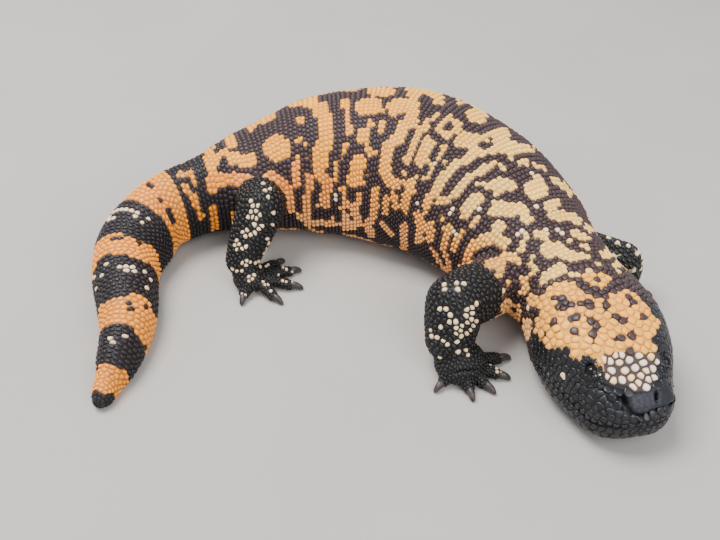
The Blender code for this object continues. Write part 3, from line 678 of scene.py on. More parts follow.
class Surface:
    """The skin, for laying beads on it."""

    def __init__(self, skin):
        mesh = skin.data
        mesh.calc_loop_triangles()
        self.points, self.normals = places_of(mesh)
        self.triangles = read_array(mesh.loop_triangles, "vertices", np.int32, 3)
        self.tree = BVHTree.FromPolygons(self.points.tolist(), self.triangles.tolist())
        corners = self.points[self.triangles]
        cross = np.cross(corners[:, 1] - corners[:, 0], corners[:, 2] - corners[:, 0])
        self.areas = np.linalg.norm(cross, axis=1) / 2

    def laid(self, places):
        """The nearest points of the skin, with its smooth normals there."""
        found, normals = np.empty((len(places), 3)), np.empty((len(places), 3))
        for i, place in enumerate(places):
            point, _, index, _ = self.tree.find_nearest(Vector(place))
            found[i] = point
            normals[i] = self.normals[self.triangles[index]].sum(0)
        return found, normals / np.linalg.norm(normals, axis=1)[:, None]

    def shown_at(self, pixels):
        """The skin's points that the picture shows at each pixel."""
        forward, up = Vector(FORWARD), Vector(UPWARD)
        found = []
        for x, y in pixels:
            across = (x - FRAME_PIXELS[0] / 2) / FOCAL_PIXELS
            rise = (FRAME_PIXELS[1] / 2 - y) / FOCAL_PIXELS
            way = (forward + Vector((across, 0, 0)) + up * rise).normalized()
            point = self.tree.ray_cast(TARGET - DISTANCE * forward, way)[0]
            if point is not None:
                found.append(point)
        return np.array(found)

    def cloud(self, wanted, spacing, density):
        """Random points over the wanted faces, so many to each seed, with the spacing at each."""
        centres = self.points[self.triangles].mean(1)
        use = np.nonzero(wanted(centres))[0]
        sizes = spacing(centres[use])
        weight = self.areas[use] / sizes**2
        picked = RNG.choice(len(use), int(weight.sum() * density), p=weight / weight.sum())
        share = RNG.random((len(picked), 2))
        flip = share.sum(1) > 1
        share[flip] = 1 - share[flip]
        first, second, third = np.moveaxis(self.points[self.triangles[use[picked]]], 1, 0)
        points = first + share[:, :1] * (second - first) + share[:, 1:] * (third - first)
        return points, sizes[picked], sizes.max()

    def scattered(self, wanted, spacing, density=9, fixed=()):
        """Seeds over the wanted faces, about a spacing apart, evened by moving to their cells' middles."""
        cloud, gaps, cell = self.cloud(wanted, spacing, density)
        kept, cells = [], {}
        for place in fixed:
            cells.setdefault(tuple((place // cell).astype(int)), []).append(tuple(place))
        for i, (place, gap) in enumerate(zip(cloud, gaps)):
            key = tuple((place // cell).astype(int))
            near = []
            for x, y, z in CELLS_AROUND:
                near += cells.get((key[0] + x, key[1] + y, key[2] + z), ())
            reach = (0.86 * gap) ** 2
            if all((place[0] - a) ** 2 + (place[1] - b) ** 2 + (place[2] - c) ** 2 > reach
                   for a, b, c in near):
                kept.append(i)
                cells.setdefault(key, []).append(tuple(place))
        seeds = np.concatenate([fixed, cloud[kept]]) if len(fixed) else cloud[kept]
        for _ in range(3):
            tree = tree_of(seeds)
            owner = np.array([tree.find(place)[1] for place in cloud])
            share = np.maximum(np.bincount(owner, minlength=len(seeds)), 1)
            seeds = np.stack([np.bincount(owner, cloud[:, k], len(seeds)) / share for k in range(3)], 1)
            if len(fixed):
                seeds[:len(fixed)] = fixed
        return self.laid(seeds)[0]


def capsule_depth(points, a, b, radius_a, radius_b):
    """How far outside a length of limb each point is, and how far along it."""
    a, axis = np.array(a), np.array(b - a)
    share = np.clip((points - a) @ axis / (axis @ axis), 0, 1)
    apart = np.linalg.norm(points - a - share[:, None] * axis, axis=1)
    return apart - (radius_a + (radius_b - radius_a) * share), share


def limb_place(points):
    """Which limb each point is on, how far outside it is, and its place along and round it."""
    best = np.full(len(points), 1.0)
    which = np.full(len(points), -1)
    along = np.zeros(len(points))
    round_it = np.zeros(len(points))
    for number, leg in enumerate(LEGS.values()):
        joints = limb_joints(leg)
        radii = (leg["girth"] * 1.1, leg["girth"], leg["ankle_girth"], palm_size(leg)[2])
        for k in range(3):
            outside, share = capsule_depth(points, joints[k], joints[k + 1], radii[k], radii[k + 1])
            take = outside < best
            best[take], which[take], along[take] = outside[take], number, (k + share[take]) / 4
            turn = np.array(frame_along(joints[k + 1] - joints[k]))
            local = (points[take] - np.array(joints[k])) @ turn
            round_it[take] = np.arctan2(local[:, 1], local[:, 0]) / (2 * math.pi) + 0.5
        palm = np.array(joints[3])
        for line, _ in toe_lines(leg):
            for a, b in zip(line[:-1:3], line[3::3] + [line[-1]]):
                outside, share = capsule_depth(points, a, b, TOE_RADIUS, TOE_RADIUS * 0.9)
                take = outside < best
                best[take], which[take] = outside[take], number
                away = points[take] - palm
                along[take] = 0.75 + np.clip(np.linalg.norm(away, axis=1) / 0.03, 0, 1) / 4
                round_it[take] = np.arctan2(away[:, 1], away[:, 0]) / (2 * math.pi) + 0.5
    return which, best, along, round_it


def body_rows():
    """Seeds in staggered rings round the tail and the trunk, ring by ring up to the nape."""
    fine = np.radians(np.linspace(-90, 270, 361))
    seeds, station, row = [], 0.0012, 0
    while station < NAPE_STATION - 0.001:
        reached = travelled(body_surface(np.full_like(fine, station), fine)[0])
        tailness = ramp(station, 0.16, -0.04)
        pitch = TRUNK_PITCH + (TAIL_PITCH - TRUNK_PITCH) * tailness
        pitch = min(pitch, 0.0019 + 0.10 * station + 0.0001)
        count = max(6, round(reached[-1] / pitch))
        share = (np.arange(count) + 0.5 * (row % 2) + 0.24 * (RNG.random(count) - 0.5)) / count
        angles = np.interp(np.mod(share, 1.0) * reached[-1], reached, fine)
        wander = 0.0004 * np.sin(3 * angles + row * 0.7) + 0.0005 * (RNG.random(count) - 0.5)
        at = np.clip(station + wander * (1 - tailness * 0.6), 0.0005, None)
        seeds.append(body_surface(at, angles)[0])
        station += (TRUNK_ROW + (TAIL_ROW - TRUNK_ROW) * tailness) * min(1, 0.62 + 12 * station)
        row += 1
    return np.concatenate(seeds)


def lip_seeds():
    """Seeds of the plates along the lips, in two rows that meet at the mouth line."""
    blunt, tip = SNOUT_STATION - 0.0005, SNOUT_STATION - 0.00005
    stations = np.concatenate([np.linspace(0.3850, blunt, 120), np.linspace(blunt, tip, 40)])
    fine = np.radians(np.linspace(-80, 80, 161))
    seeds = []
    for offset, pitch in LIP_ROWS:
        outline = []
        for side in (1, -1):
            row = []
            for s in stations:
                points, _ = body_surface(np.full_like(fine, s), fine if side > 0 else math.pi - fine)
                row.append(points[np.argmin(np.abs(points[:, 2] - (float(mouth_height(s)) + offset)))])
            outline += row[::side]
        line = np.array(outline)
        length = travelled(line)[-1]
        count = int(length / pitch) // 2 * 2 + 1
        seeds.append(along_line(line, (np.arange(count) + 0.5) / count * length))
    return seeds


def head_spacing(points):
    """How far apart the head's plates are: large on its crown, smaller on the temples, snout and throat."""
    station, angle, _ = body_place(points)
    up = np.sin(angle)
    crown = ramp(up, 0.35, 0.4) * ramp(station, 0.428, -0.012)
    wider = 0.0001 + 0.0003 * crown + 0.0006 * np.clip(-up, 0, 1)
    return 0.0026 + ramp(station, FACE_START, 0.018) * wider


def oval_distance(points, place, size, clear=0.006):
    """Distance from an opening of the head, in its own radii, on the nearer side."""
    best = np.full(len(points), 99.0)
    for side in (1, -1):
        local = local_place(points, *head_place(place, side)) / np.array((*size[:2], 1))
        away = np.hypot(local[:, 0], local[:, 1]) + 9 * (np.abs(local[:, 2]) > clear)
        best = np.minimum(best, away)
    return best


def eye_distance(points):
    return oval_distance(points, EYE, LID_SIZE, 0.007)


# ---- colour, in linear light ----
def linear(red, green, blue):
    return np.array([(c / 255) ** 2.2 for c in (red, green, blue)])


STRAW, STRAW_PALE = linear(252, 167, 46), linear(252, 201, 106)
ORANGE, TAN = linear(250, 150, 70), linear(252, 152, 48)
CREAM, ROSE = linear(250, 218, 174), linear(255, 226, 202)
DARK, BLACK, SOOT, HORNY = linear(62, 43, 44), linear(19, 18, 24), linear(17, 14, 15), linear(92, 72, 68)
# PEACH is the colour of the painted bounce light on the lower flank and under the neck.
NOSE_BLUE, PEACH = linear(21, 23, 33), linear(253, 188, 122)


def mixed(colour, other, share):
    """The colour moved towards another one by each place's share."""
    return colour + share[:, None] * (other - colour)


def noise_at(points, scale, shift=0.0):
    return np.array([noise.noise(Vector(p) / scale + Vector((shift, shift * 0.7, -shift))) for p in points])


def paired(numbers):
    """Flat numbers as a line of (x, y) places."""
    return list(zip(numbers[::2], numbers[1::2]))


def stroke_distance(u, v, line):
    """Distance in pixels of each place from a line of points."""
    best = np.full(len(u), 1e9)
    line = [line[0], line[0]] if len(line) == 1 else line
    for (ax, ay), (bx, by) in zip(line, line[1:]):
        dx, dy = bx - ax, by - ay
        span = max(dx * dx + dy * dy, 1e-9)
        share = np.clip(((u - ax) * dx + (v - ay) * dy) / span, 0, 1)
        best = np.minimum(best, np.hypot(u - ax - share * dx, v - ay - share * dy))
    return best


def within(u, v, outline):
    """Whether each place is inside a closed outline."""
    inside = np.zeros(len(u), bool)
    for (ax, ay), (bx, by) in zip(outline, outline[1:] + outline[:1]):
        if ay != by:
            crossing = ((ay > v) != (by > v)) & (u < (bx - ax) * (v - ay) / (by - ay) + ax)
            inside ^= crossing
    return inside


def seen_places(points, normals, station, angle):
    """Where the picture shows each place or, for the side turned away, its mirror image on this side."""
    ragged = 0.006 * noise_at(points, 0.006, 4.0)
    apart = np.linalg.norm(CAMERA - points, axis=1)
    facing = towards_camera(points, normals) / apart > 0.04 + 4 * ragged
    other, other_normals = body_surface(station, math.pi - angle)
    u, v = picture_of(np.where(facing[:, None], points, other))
    return u, v, facing | (towards_camera(other, other_normals) > 0)


# Strokes read off the picture: radius, then the line's points, in pixels.
TRUNK_PALE = (
    (7, 231, 142), (8, 212, 152, 213, 165), (7, 233, 160, 250, 160), (3, 222, 152, 232, 155),
    (14, 277, 148), (6, 252, 127, 270, 118), (3, 287, 119), (6, 296, 104, 312, 100, 318, 112),
    (4, 300, 120), (6, 322, 108, 325, 135, 320, 150, 318, 165, 321, 177), (3.5, 299, 140),
    (2, 305, 143), (2, 297, 158), (2, 307, 158), (3, 316, 207), (2.5, 191, 170, 195, 185),
    (2.5, 184, 185, 190, 196), (3, 180, 174, 187, 174), (3.5, 193, 194, 201, 217),
    (3, 343, 89, 357, 89), (6.5, 374, 90, 391, 90), (5, 409, 92, 430, 92), (6, 437, 95, 438, 103),
    (8, 395, 107, 413, 105), (5, 393, 113), (6, 413, 112, 405, 126, 399, 138, 388, 146, 386, 160, 385, 168),
    (6, 385, 172, 390, 180, 395, 184), (6, 345, 104), (2.8, 347, 110, 347, 125), (4.5, 350, 131),
    (8.5, 364, 108, 374, 106), (3, 384, 111), (2.2, 383, 121, 380, 132), (4, 371, 124),
    (6, 364, 133, 362, 138), (2.8, 368, 142, 369, 155), (6, 324, 110, 328, 140, 323, 152, 322, 165),
    (2, 337, 162, 337, 181), (2.5, 346, 145, 342, 157), (2.2, 375, 153), (2, 368, 175),
    (3, 343, 188, 346, 205), (3, 359, 196, 356, 207, 350, 207), (2.5, 340, 207), (2.8, 334, 217),
    (2.5, 363, 184), (3, 322, 222, 338, 224), (4.5, 376, 190, 375, 205, 374, 215, 368, 226, 372, 233),
    (3.5, 386, 198, 386, 212), (2.5, 393, 188, 392, 200), (3, 396, 197, 396, 208),
    (4.5, 410, 183, 407, 195, 405, 207), (3.5, 405, 173), (3, 413, 192), (3, 402, 183),
    (3.5, 438, 112, 430, 118, 424, 128, 418, 136, 413, 145), (4.5, 422, 130), (2.5, 415, 127),
    (2, 417, 120), (4, 412, 150, 406, 161), (6.5, 427, 143, 425, 152, 422, 160), (3, 435, 143),
    (3, 445, 146, 439, 158), (2.5, 445, 163), (2.2, 432, 165, 429, 177), (2.5, 423, 178), (2, 417, 176),
    (4.5, 449, 170, 441, 180, 437, 190, 430, 198, 427, 205), (4, 435, 200, 449, 200),
    (3.5, 449, 118, 440, 125, 438, 130, 447, 135), (4, 455, 122, 458, 127, 450, 134),
    (4.5, 418, 215, 422, 225, 419, 240), (3, 425, 212), (4.5, 430, 226, 430, 238),
    (3, 382, 222, 391, 234), (2.5, 406, 215), (3, 443, 217), (5, 448, 228, 446, 238, 444, 246),
    (3, 459, 103, 466, 101), (7.5, 473, 115, 481, 116), (8, 466, 140, 480, 141, 495, 139, 502, 136),
    (6, 500, 133, 506, 145), (6, 472, 154, 488, 149, 505, 147, 520, 148), (4, 510, 152, 510, 156),
    (3, 525, 149, 531, 150), (5, 460, 144, 462, 139), (4.5, 466, 160, 456, 164, 449, 170),
    (4.5, 492, 165, 484, 170), (3.7, 474, 174, 466, 182), (4.5, 459, 190, 456, 194),
    (3.7, 484, 170, 474, 174), (3.7, 466, 182, 459, 190), (3, 502, 167, 504, 167),
    (3, 519, 164, 526, 163), (2, 533, 165, 546, 170), (6.5, 503, 184, 510, 185),
    (4.5, 490, 185, 500, 184), (3, 497, 193, 502, 192), (2, 478, 184, 483, 184), (11.5, 536, 189),
    (5.5, 537, 180), (7, 477, 199), (5.5, 470, 204, 466, 210, 465, 215), (2.5, 442, 216, 441, 219),
    (3.5, 476, 219, 473, 225), (7.5, 496, 209, 507, 210, 518, 209), (6, 525, 216, 528, 219),
    (6.5, 498, 228, 494, 238, 484, 241, 475, 246), (5.5, 469, 252, 466, 262),
    (5, 488, 266, 497, 262, 501, 266, 499, 273), (4.5, 503, 256, 512, 257, 517, 260),
    (3.5, 520, 250, 524, 243, 526, 237), (3, 500, 240, 508, 240), (4, 500, 245, 503, 248),
    (3.5, 463, 232, 457, 240, 453, 248), (5, 538, 234, 543, 236), (8.5, 548, 250, 558, 250),
    (6, 565, 254, 575, 257), (3.5, 583, 256, 587, 257), (2.5, 533, 257, 529, 265),
    (4, 536, 270, 533, 273), (5.5, 543, 281, 552, 275, 561, 269), (1.5, 571, 276, 577, 274),
    (6, 525, 282), (4.5, 525, 291), (1.8, 510, 280, 508, 284, 506, 288), (5, 532, 298, 533, 304),
    (7.5, 508, 308, 515, 311), (7, 516, 317), (4.5, 527, 322, 527, 333, 526, 338),
    (3, 554, 180, 562, 185, 570, 194), (5, 550, 206, 556, 205), (5.5, 552, 214, 562, 216),
    (4.5, 570, 217, 578, 222), (3, 585, 227, 590, 231), (3.5, 574, 233, 582, 237, 587, 239),
    (2, 568, 241, 571, 242), (2, 581, 244, 588, 249), (2.5, 597, 263, 601, 266),
    (8.5, 592, 278, 601, 281), (4.5, 605, 254, 614, 254), (3.5, 616, 262, 617, 272),
    (3, 537, 321, 540, 324), (1.5, 503, 296, 508, 301), (7.5, 359, 162, 354, 181),
)
TRUNK_ORANGE = (
    (7, 222, 180, 252, 180), (6, 212, 178, 212, 188), (3.5, 297, 163, 294, 170, 296, 185),
    (4.5, 308, 175, 309, 190, 307, 200, 309, 222), (5, 325, 188, 326, 205),
    (3, 299, 215, 312, 223, 330, 222),
    (5, 270, 174, 282, 182, 289, 192, 291, 207), (4, 213, 208, 214, 226), (5, 326, 178, 328, 188),
    (4.5, 345, 215, 346, 226, 358, 223, 356, 213), (3.8, 404, 225, 404, 246),
    (4, 461, 268, 472, 270, 484, 273, 490, 276), (3, 443, 247, 447, 258, 450, 268),
    (2.5, 481, 282, 487, 300, 488, 312), (5.5, 494, 316), (3, 500, 322), (3, 235, 214, 235, 219),
    (2, 431, 246, 440, 262, 447, 272),
)
TRUNK_DARK = (
    (3, 223, 147), (2, 217, 151), (5, 224, 163), (3.5, 220, 168, 240, 170, 262, 175),
    (6, 243, 132, 243, 146), (7, 285, 112, 283, 125, 262, 131, 255, 140), (1.5, 285, 110, 304, 108),
    (7, 311, 129), (6, 401, 92), (6, 424, 100, 427, 112), (4, 432, 109, 445, 110), (3, 383, 191),
    (5, 432, 213), (3, 447, 128), (3.5, 482, 145, 490, 146), (2.5, 491, 140), (6, 478, 258, 487, 252),
    (1.3, 434, 200), (1.3, 514, 310), (3, 597, 274), (2.5, 599, 280), (4, 606, 264, 612, 272),
    (1.2, 475, 224), (1.2, 553, 211), (1.2, 556, 211),
)
TRUNK_DOTS = (
    367, 190, 367, 199, 335, 197, 417, 201, 434, 165, 451, 208, 450, 216, 478, 211, 455, 233, 531, 172,
    535, 205, 547, 228, 519, 232, 560, 232, 530, 310, 534, 316, 518, 337, 501, 291, 525, 351, 530, 351,
    524, 357, 529, 356, 533, 361, 528, 367, 532, 374, 506, 299,
)
TAIL_ORANGE = ((3, 193, 194, 201, 217), (7, 140, 186, 160, 200, 172, 220), (4, 176, 232, 178, 242))
TAIL_DARK = (
    (2.2, 115, 238, 122, 238), (2.2, 137, 241, 140, 246), (2, 148, 186, 152, 187), (1.5, 135, 182),
    (2, 158, 198, 162, 200), (2.5, 168, 210, 173, 221), (2, 127, 309, 136, 310),
    (2.3, 145, 308), (1.5, 129, 302), (1.5, 111, 376),
)
TAIL_DOTS = (
    117, 210, 121, 210, 125, 211, 129, 211, 136, 214, 138, 216, 110, 213, 147, 218, 142, 221, 107, 218,
    112, 218, 157, 230, 121, 268, 124, 268, 131, 269, 134, 270, 106, 266, 128, 273, 94, 277, 103, 274,
    144, 274, 149, 280, 145, 286, 97, 287, 112, 340, 127, 338, 110, 343, 150, 262,
)
LIMB_DOTS = (
    265, 191, 270, 189, 263, 184, 268, 197, 251, 201, 253, 206, 258, 206, 256, 211, 260, 215, 251, 212,
    248, 217, 253, 217, 256, 218, 273, 213, 254, 225, 262, 226, 259, 229, 272, 225, 247, 230, 255, 233,
    251, 235, 245, 236, 243, 232, 267, 238, 268, 243, 267, 248, 246, 247, 242, 249, 237, 250, 239, 244,
    235, 245, 237, 241, 265, 252, 242, 263, 247, 261, 246, 265, 250, 262, 255, 263, 258, 261, 266, 266,
    268, 265, 260, 267, 237, 271, 242, 271, 233, 269, 254, 275, 252, 279, 249, 277, 249, 281, 263, 282,
    265, 285, 268, 285, 271, 291, 278, 275, 283, 268, 286, 269, 283, 281, 286, 282, 295, 267, 297, 270,
    294, 283, 298, 284, 282, 295, 285, 293, 242, 294, 245, 295, 295, 281, 293, 270,
    444, 285, 456, 283, 464, 284, 445, 290, 458, 290, 440, 309, 446, 309, 450, 315, 467, 309, 472, 308,
    476, 304, 472, 313, 466, 316, 471, 319, 449, 322, 456, 322, 467, 323, 476, 321, 462, 326, 457, 328,
    473, 326, 441, 328, 456, 334, 461, 336, 467, 333, 431, 330, 432, 336, 437, 337, 444, 341, 447, 344,
    457, 342, 458, 352, 468, 355, 466, 350, 440, 357, 497, 372, 501, 373, 499, 368, 460, 330, 470, 330,
    628, 246,
)
HEAD_OUTLINE = (
    540, 343, 535, 332, 538, 322, 540, 312, 539, 303, 543, 294, 551, 287, 560, 281, 567, 279, 573, 282,
    579, 288, 584, 292, 590, 296, 598, 299, 606, 297, 612, 294, 620, 290, 630, 291, 637, 296, 644, 302,
    650, 308, 655, 316, 658, 323, 657, 333, 652, 338, 655, 350, 660, 356, 660, 362, 653, 366, 658, 376,
    652, 383, 650, 391, 640, 391, 633, 392, 628, 386, 614, 382, 605, 376, 602, 366, 596, 368, 590, 361,
    581, 361, 571, 361, 568, 350, 560, 350, 552, 350, 545, 342,
)
HEAD_DARK = (
    (4, 558, 300, 563, 300), (4.5, 562, 305, 570, 306), (3.5, 585, 303, 592, 305),
    (3.5, 605, 303, 606, 311), (3, 630, 300, 632, 307), (3.5, 571, 319, 577, 316),
    (3.5, 587, 317, 592, 320, 597, 322, 600, 328),
    (3, 594, 331, 592, 338, 595, 344), (3, 612, 316, 618, 319, 626, 320), (2.5, 640, 317, 646, 316),
    (2, 573, 331, 578, 334), (3, 630, 335, 634, 333), (2.5, 613, 338, 619, 339), (1.8, 607, 350),
    (3.5, 592, 290, 597, 295, 604, 294), (2.5, 549, 325, 556, 322), (2, 558, 332),
    (1.8, 631, 349), (2, 598, 368), (2, 544, 333, 545, 338),
)
HEAD_PALE = ((4, 551, 335), (4.5, 559, 343), (3.5, 598, 363))
# The round plates of the nose and cheek, whose places the picture shows one by one.
HEAD_DOTS = (
    619, 362, 629, 360, 643, 363, 651, 357, 654, 348, 644, 350, 611, 371, 625, 371, 635, 368, 646, 371,
    631, 378, 622, 380, 641, 376, 654, 378, 633, 387, 638, 383, 646, 387, 616, 356, 563, 376, 600, 375,
    598, 362, 550, 335, 559, 343, 575, 340, 585, 346, 575, 353, 620, 345, 640, 341, 653, 331,
)
# The smooth block of the nose.
NOSE_BLOCK = (
    629, 393, 640, 393, 651, 389, 662, 381, 668, 384, 676, 394, 677, 401, 668, 409, 656, 413,
    648, 416, 640, 417, 633, 414, 631, 404,
)
# Folds of the face: half width in pixels, depth in metres, then the line.
FACE_CREASES = (
    (1.5, 0.0014, 630, 411, 633, 416, 641, 418, 648, 417, 656, 412, 667, 409, 674, 405),
    (1.1, 0.0007, 604, 425, 616, 430, 626, 431),
    (1.2, 0.0006, 600, 384, 612, 389, 625, 392),
    (1.2, 0.0006, 575, 383, 585, 388, 596, 388, 606, 393),
    (1.2, 0.0006, 606, 398, 614, 404, 618, 412),
    (1.2, 0.0006, 566, 401, 580, 404, 596, 409, 606, 420),
)

# Tail bands: station where each ends, and whether it is pale.
TAIL_BANDS = (
    (0.005, 0), (0.015, 1), (0.031, 0), (0.046, 1), (0.069, 0), (0.082, 1), (0.103, 0),
    (BANDS_START, 1), (TAIL_START, 0),
)


def wild_pattern(station, angle):
    """The reticulation where the picture doesn't show it: above 0 where the skin is pale."""
    around = (angle + math.pi / 2) % (2 * math.pi) - math.pi
    place = np.stack([station / 0.0125, around * 2.0, np.full(len(station), 3.3)], 1)
    coarse = np.array([noise.noise(Vector(p)) for p in place])
    fine = np.array([noise.noise(Vector(p) * 2.3 + Vector((9, 4, 1))) for p in place])
    return coarse + 0.45 * fine + 0.04


def band_pattern(station, angle):
    """The tail's bands with ragged edges: above 0 where pale."""
    rings = np.stack([np.cos(angle) * 1.3, np.sin(angle) * 1.3, station / 0.02], 1)
    at = station + 0.003 * np.array([noise.noise(Vector(p)) for p in rings])
    value = np.full(len(station), -1.0)
    start = 0.0
    for end, pale in TAIL_BANDS:
        value[(at >= start) & (at < end)] = 1.0 if pale else -1.0
        start = end
    return value


def paint(value, kind, strokes, u, v, where, sway):
    """Lays each stroke's kind over the value at the places it covers."""
    for radius, *line in strokes:
        value[where & (stroke_distance(u, v, paired(line)) < radius + sway)] = kind


def dotted(dots, u, v, seen, reach=4.5):
    """The beads nearest the dots."""
    chosen = np.zeros(len(u), bool)
    if not seen.any():
        return chosen
    for x, y in paired(dots):
        apart = np.where(seen, np.hypot(u - x, v - y), 1e9)
        if apart.min() < reach:
            chosen[apart < apart.min() + 0.35] = True
    return chosen


def past_trunk(limb_outside, outside):
    """Whether each place is on a limb, clear of the trunk."""
    return (limb_outside < outside - 0.0002) & (outside > 0.0005)


def on_limbs(points):
    return past_trunk(limb_place(points)[1], body_place(points)[2])


def limb_cover(points, outside):
    """Where a limb's own black skin shows, past the trunk's skin that drapes its upper length."""
    which, limb_outside, along, _ = limb_place(points)
    draped = along < np.choose(np.maximum(which, 0), DRAPED)
    return past_trunk(limb_outside, outside) & ~draped, which


def markings(points, normals, beads):
    """How pale each place is, its two colours, whether it is on the nose or a smooth side, and where."""
    station, angle, outside = body_place(points)
    up = np.sin(angle)
    on_limb, which = limb_cover(points, outside)
    u, v, seen = seen_places(points, normals, station, angle)
    own_u, own_v = picture_of(points)
    facing = towards_camera(points, normals) > 0
    drawn = outside > 0.0015
    u, v = np.where(drawn, own_u, u), np.where(drawn, own_v, v)
    seen = np.where(drawn, facing, seen)
    own = seen & (np.abs(u - own_u) < 1e-9)
    sway = 0.8 * noise_at(points, 0.004, 5.0)
    head = (station > NAPE_STATION + 0.002) & ~on_limb
    tail = (station < TAIL_START) & ~on_limb
    trunk = ~head & ~on_limb
    on_crown = seen & within(u, v, paired(HEAD_OUTLINE)) & (own | (up > 0.85))
    on_crown &= eye_distance(points) > CROWN_CLEAR
    collar = head & ~on_crown & (station < COLLAR_STATION)
    smooth = head & ~on_crown & ~collar
    pinkish = head & (u > PINK_CORNER[0]) & (v > PINK_CORNER[1])

    # How pale each place is, and how orange the pale ones are.
    fore = ramp(station, 0.325, 0.02)
    orange = ramp(up, 0.70, -1.0) + 0.30 * noise_at(points, 0.015, 8.0)
    orange = np.clip(np.maximum(orange, np.minimum(ramp(station, 0.15, -0.05), 0.75)), 0, 1)
    orange = orange * (1 - 0.65 * fore)
    wild = wild_pattern(station, angle)
    pale = np.where(tail & (station < BANDS_START), band_pattern(station, angle), wild)
    pale = np.where((seen & trunk & ~tail) | (tail & (station >= BANDS_START)), -1.0, pale)
    for value, kind, strokes, part in (
            (pale, 1.0, TRUNK_PALE, trunk), (pale, 1.0, TRUNK_ORANGE, trunk),
            (orange, 0.85, TRUNK_ORANGE, trunk), (orange, 0.9, TAIL_ORANGE, tail),
            (pale, -1.0, TRUNK_DARK, trunk), (pale, -1.0, TAIL_DARK, tail)):
        paint(value, kind, strokes, u, v, seen & part, sway)
    pale = np.where((up < BELLY_SINE) & trunk & ~tail, wild, pale)
    pale = np.where(head, np.where(on_crown, 1.0, -1.0), pale)
    paint(pale, 1.0, TRUNK_PALE, u, v, own & collar, sway)
    paint(pale, -1.0, TRUNK_DARK, u, v, own & collar, sway)
    paint(pale, -1.0, HEAD_DARK, u, v, head & seen, 0.5 + 0.4 * sway)
    paint(pale, 1.0, HEAD_PALE, u, v, head & seen, 0.2 * sway)
    flecked = ((which % 2 == 1) | ~facing) & (noise_at(points, 0.0040, 2.0) > 0.30)
    pale = np.where(on_limb, np.where(flecked, 1.0, -1.0), pale)
    orange = np.where(head, 0.05 + 0.25 * (noise_at(points, 0.008, 6.0) > 0.25), orange)

    # The two colours that each place would have.
    # Paler along the upper back: partly its own cream tone, partly painted sky light.
    cream_and_sky_light = ramp(station, 0.22, 0.08) * ramp(up, 0.1, 0.5) * np.where(head, 0.2, 1)
    light = mixed(STRAW, STRAW_PALE, cream_and_sky_light)
    light = mixed(light, np.where(tail[:, None], TAN, ORANGE), orange)
    # Painted bounce light: the lower flank and the underside of the neck are painted paler, towards peach.
    low = ramp(up, 0.35, -0.5) * np.where(tail, 0.0, 0.55)
    low = np.maximum(low, 0.8 * fore * ramp(up, 0.5, -0.5))
    light = np.where(on_limb[:, None], CREAM, mixed(light, PEACH, low))
    warm = np.clip(0.15 + 1.4 * noise_at(points, 0.0045, 7.0), 0, 0.65)
    light = np.where(pinkish[:, None], mixed(ROSE, STRAW_PALE, warm), light)
    black = np.where(tail, 0.7, np.where(smooth, 1.0, 0.0))
    # Painted shade: the dark colour grows deeper lower down the flank.
    dark = mixed(DARK, BLACK, black) * (1 - 0.45 * ramp(up, 0.45, -0.6))[:, None]
    dark = np.where(on_limb[:, None], SOOT, dark)
    dark = np.where((pinkish & on_crown)[:, None], HORNY, dark)
    if beads:
        parts = (TRUNK_DOTS, trunk), (TAIL_DOTS, tail), (HEAD_DOTS, head), (LIMB_DOTS, on_limb)
        for dots, part in parts:
            chosen = dotted(dots, u, v, part & seen)
            light[chosen & (pale < 0)] = CREAM
            pale[chosen] = 1.0
    else:
        pale = np.where(pinkish, -1.0, pale)
    return pale, light, dark, pinkish & on_crown, smooth, station, angle


def nose_depth(points, normals):
    """How far inside the smooth block of the nose each place is, in pixels of the picture."""
    outline = paired(NOSE_BLOCK)
    u, v = picture_of(points)
    shown = (towards_camera(points, normals) > 0) & within(u, v, outline)
    return np.where(shown, stroke_distance(u, v, outline + outline[:1]), 0.0)


# ---- the beads ----
def bead_outlines(seeds, normals, reach, groove, count, power=7.0, rings=None, near=14):
    """Each bead's outline in its own plane: the cell that its neighbours leave it, with rounded corners.

    The groove is wider by the rings vector where the neighbour lies that way.
    """
    tree = tree_of(seeds)
    helper = np.where(np.abs(normals[:, 2:]) < 0.9, np.array([[0, 0, 1.0]]), np.array([[1.0, 0, 0]]))
    across = np.cross(helper, normals)
    across /= np.linalg.norm(across, axis=1)[:, None]
    up = np.cross(normals, across)
    turns = 2 * math.pi * np.arange(count) / count
    ways = np.stack([np.cos(turns), np.sin(turns)], 1)
    total = np.zeros((len(seeds), count))
    for i, seed in enumerate(seeds):
        for _, j, apart in tree.find_n(seed, near):
            if j == i or apart < 1e-5 or normals[i] @ normals[j] < 0.1:
                continue
            step = seeds[j] - seed
            flat = np.array((step @ across[i], step @ up[i]))
            length = math.hypot(*flat)
            if length < 0.3 * apart:
                continue
            gap = groove[i] + (abs(step @ rings[i]) / apart if rings is not None else 0.0)
            limit = max(apart / 2 - gap / 2, 0.15 * apart)
            total[i] += (np.maximum(ways @ (flat / length), 0) / limit) ** power
    total += (1 / reach[:, None]) ** power
    return across, up, ways, total ** (-1 / power)


# Each ring of a bead from its foot up: share of its radius, of its height and of its brightness.
# The brightness is painted shade, darkest at the foot in the groove, with a faint painted highlight on top
# of the domes and plates.
PROFILES = {
    "dome": ((1.04, -0.5, 0.45), (0.98, 0.22, 0.62), (0.80, 0.72, 0.96), (0.42, 0.97, 1.04)),
    "plate": (
        (1.04, -0.7, 0.35), (1.00, 0.10, 0.50), (0.90, 0.60, 0.88), (0.70, 0.86, 1.0), (0.38, 0.98, 1.03),
    ),
    "fine": ((1.04, -0.6, 0.35), (0.96, 0.35, 0.7), (0.62, 0.90, 1.0)),
}


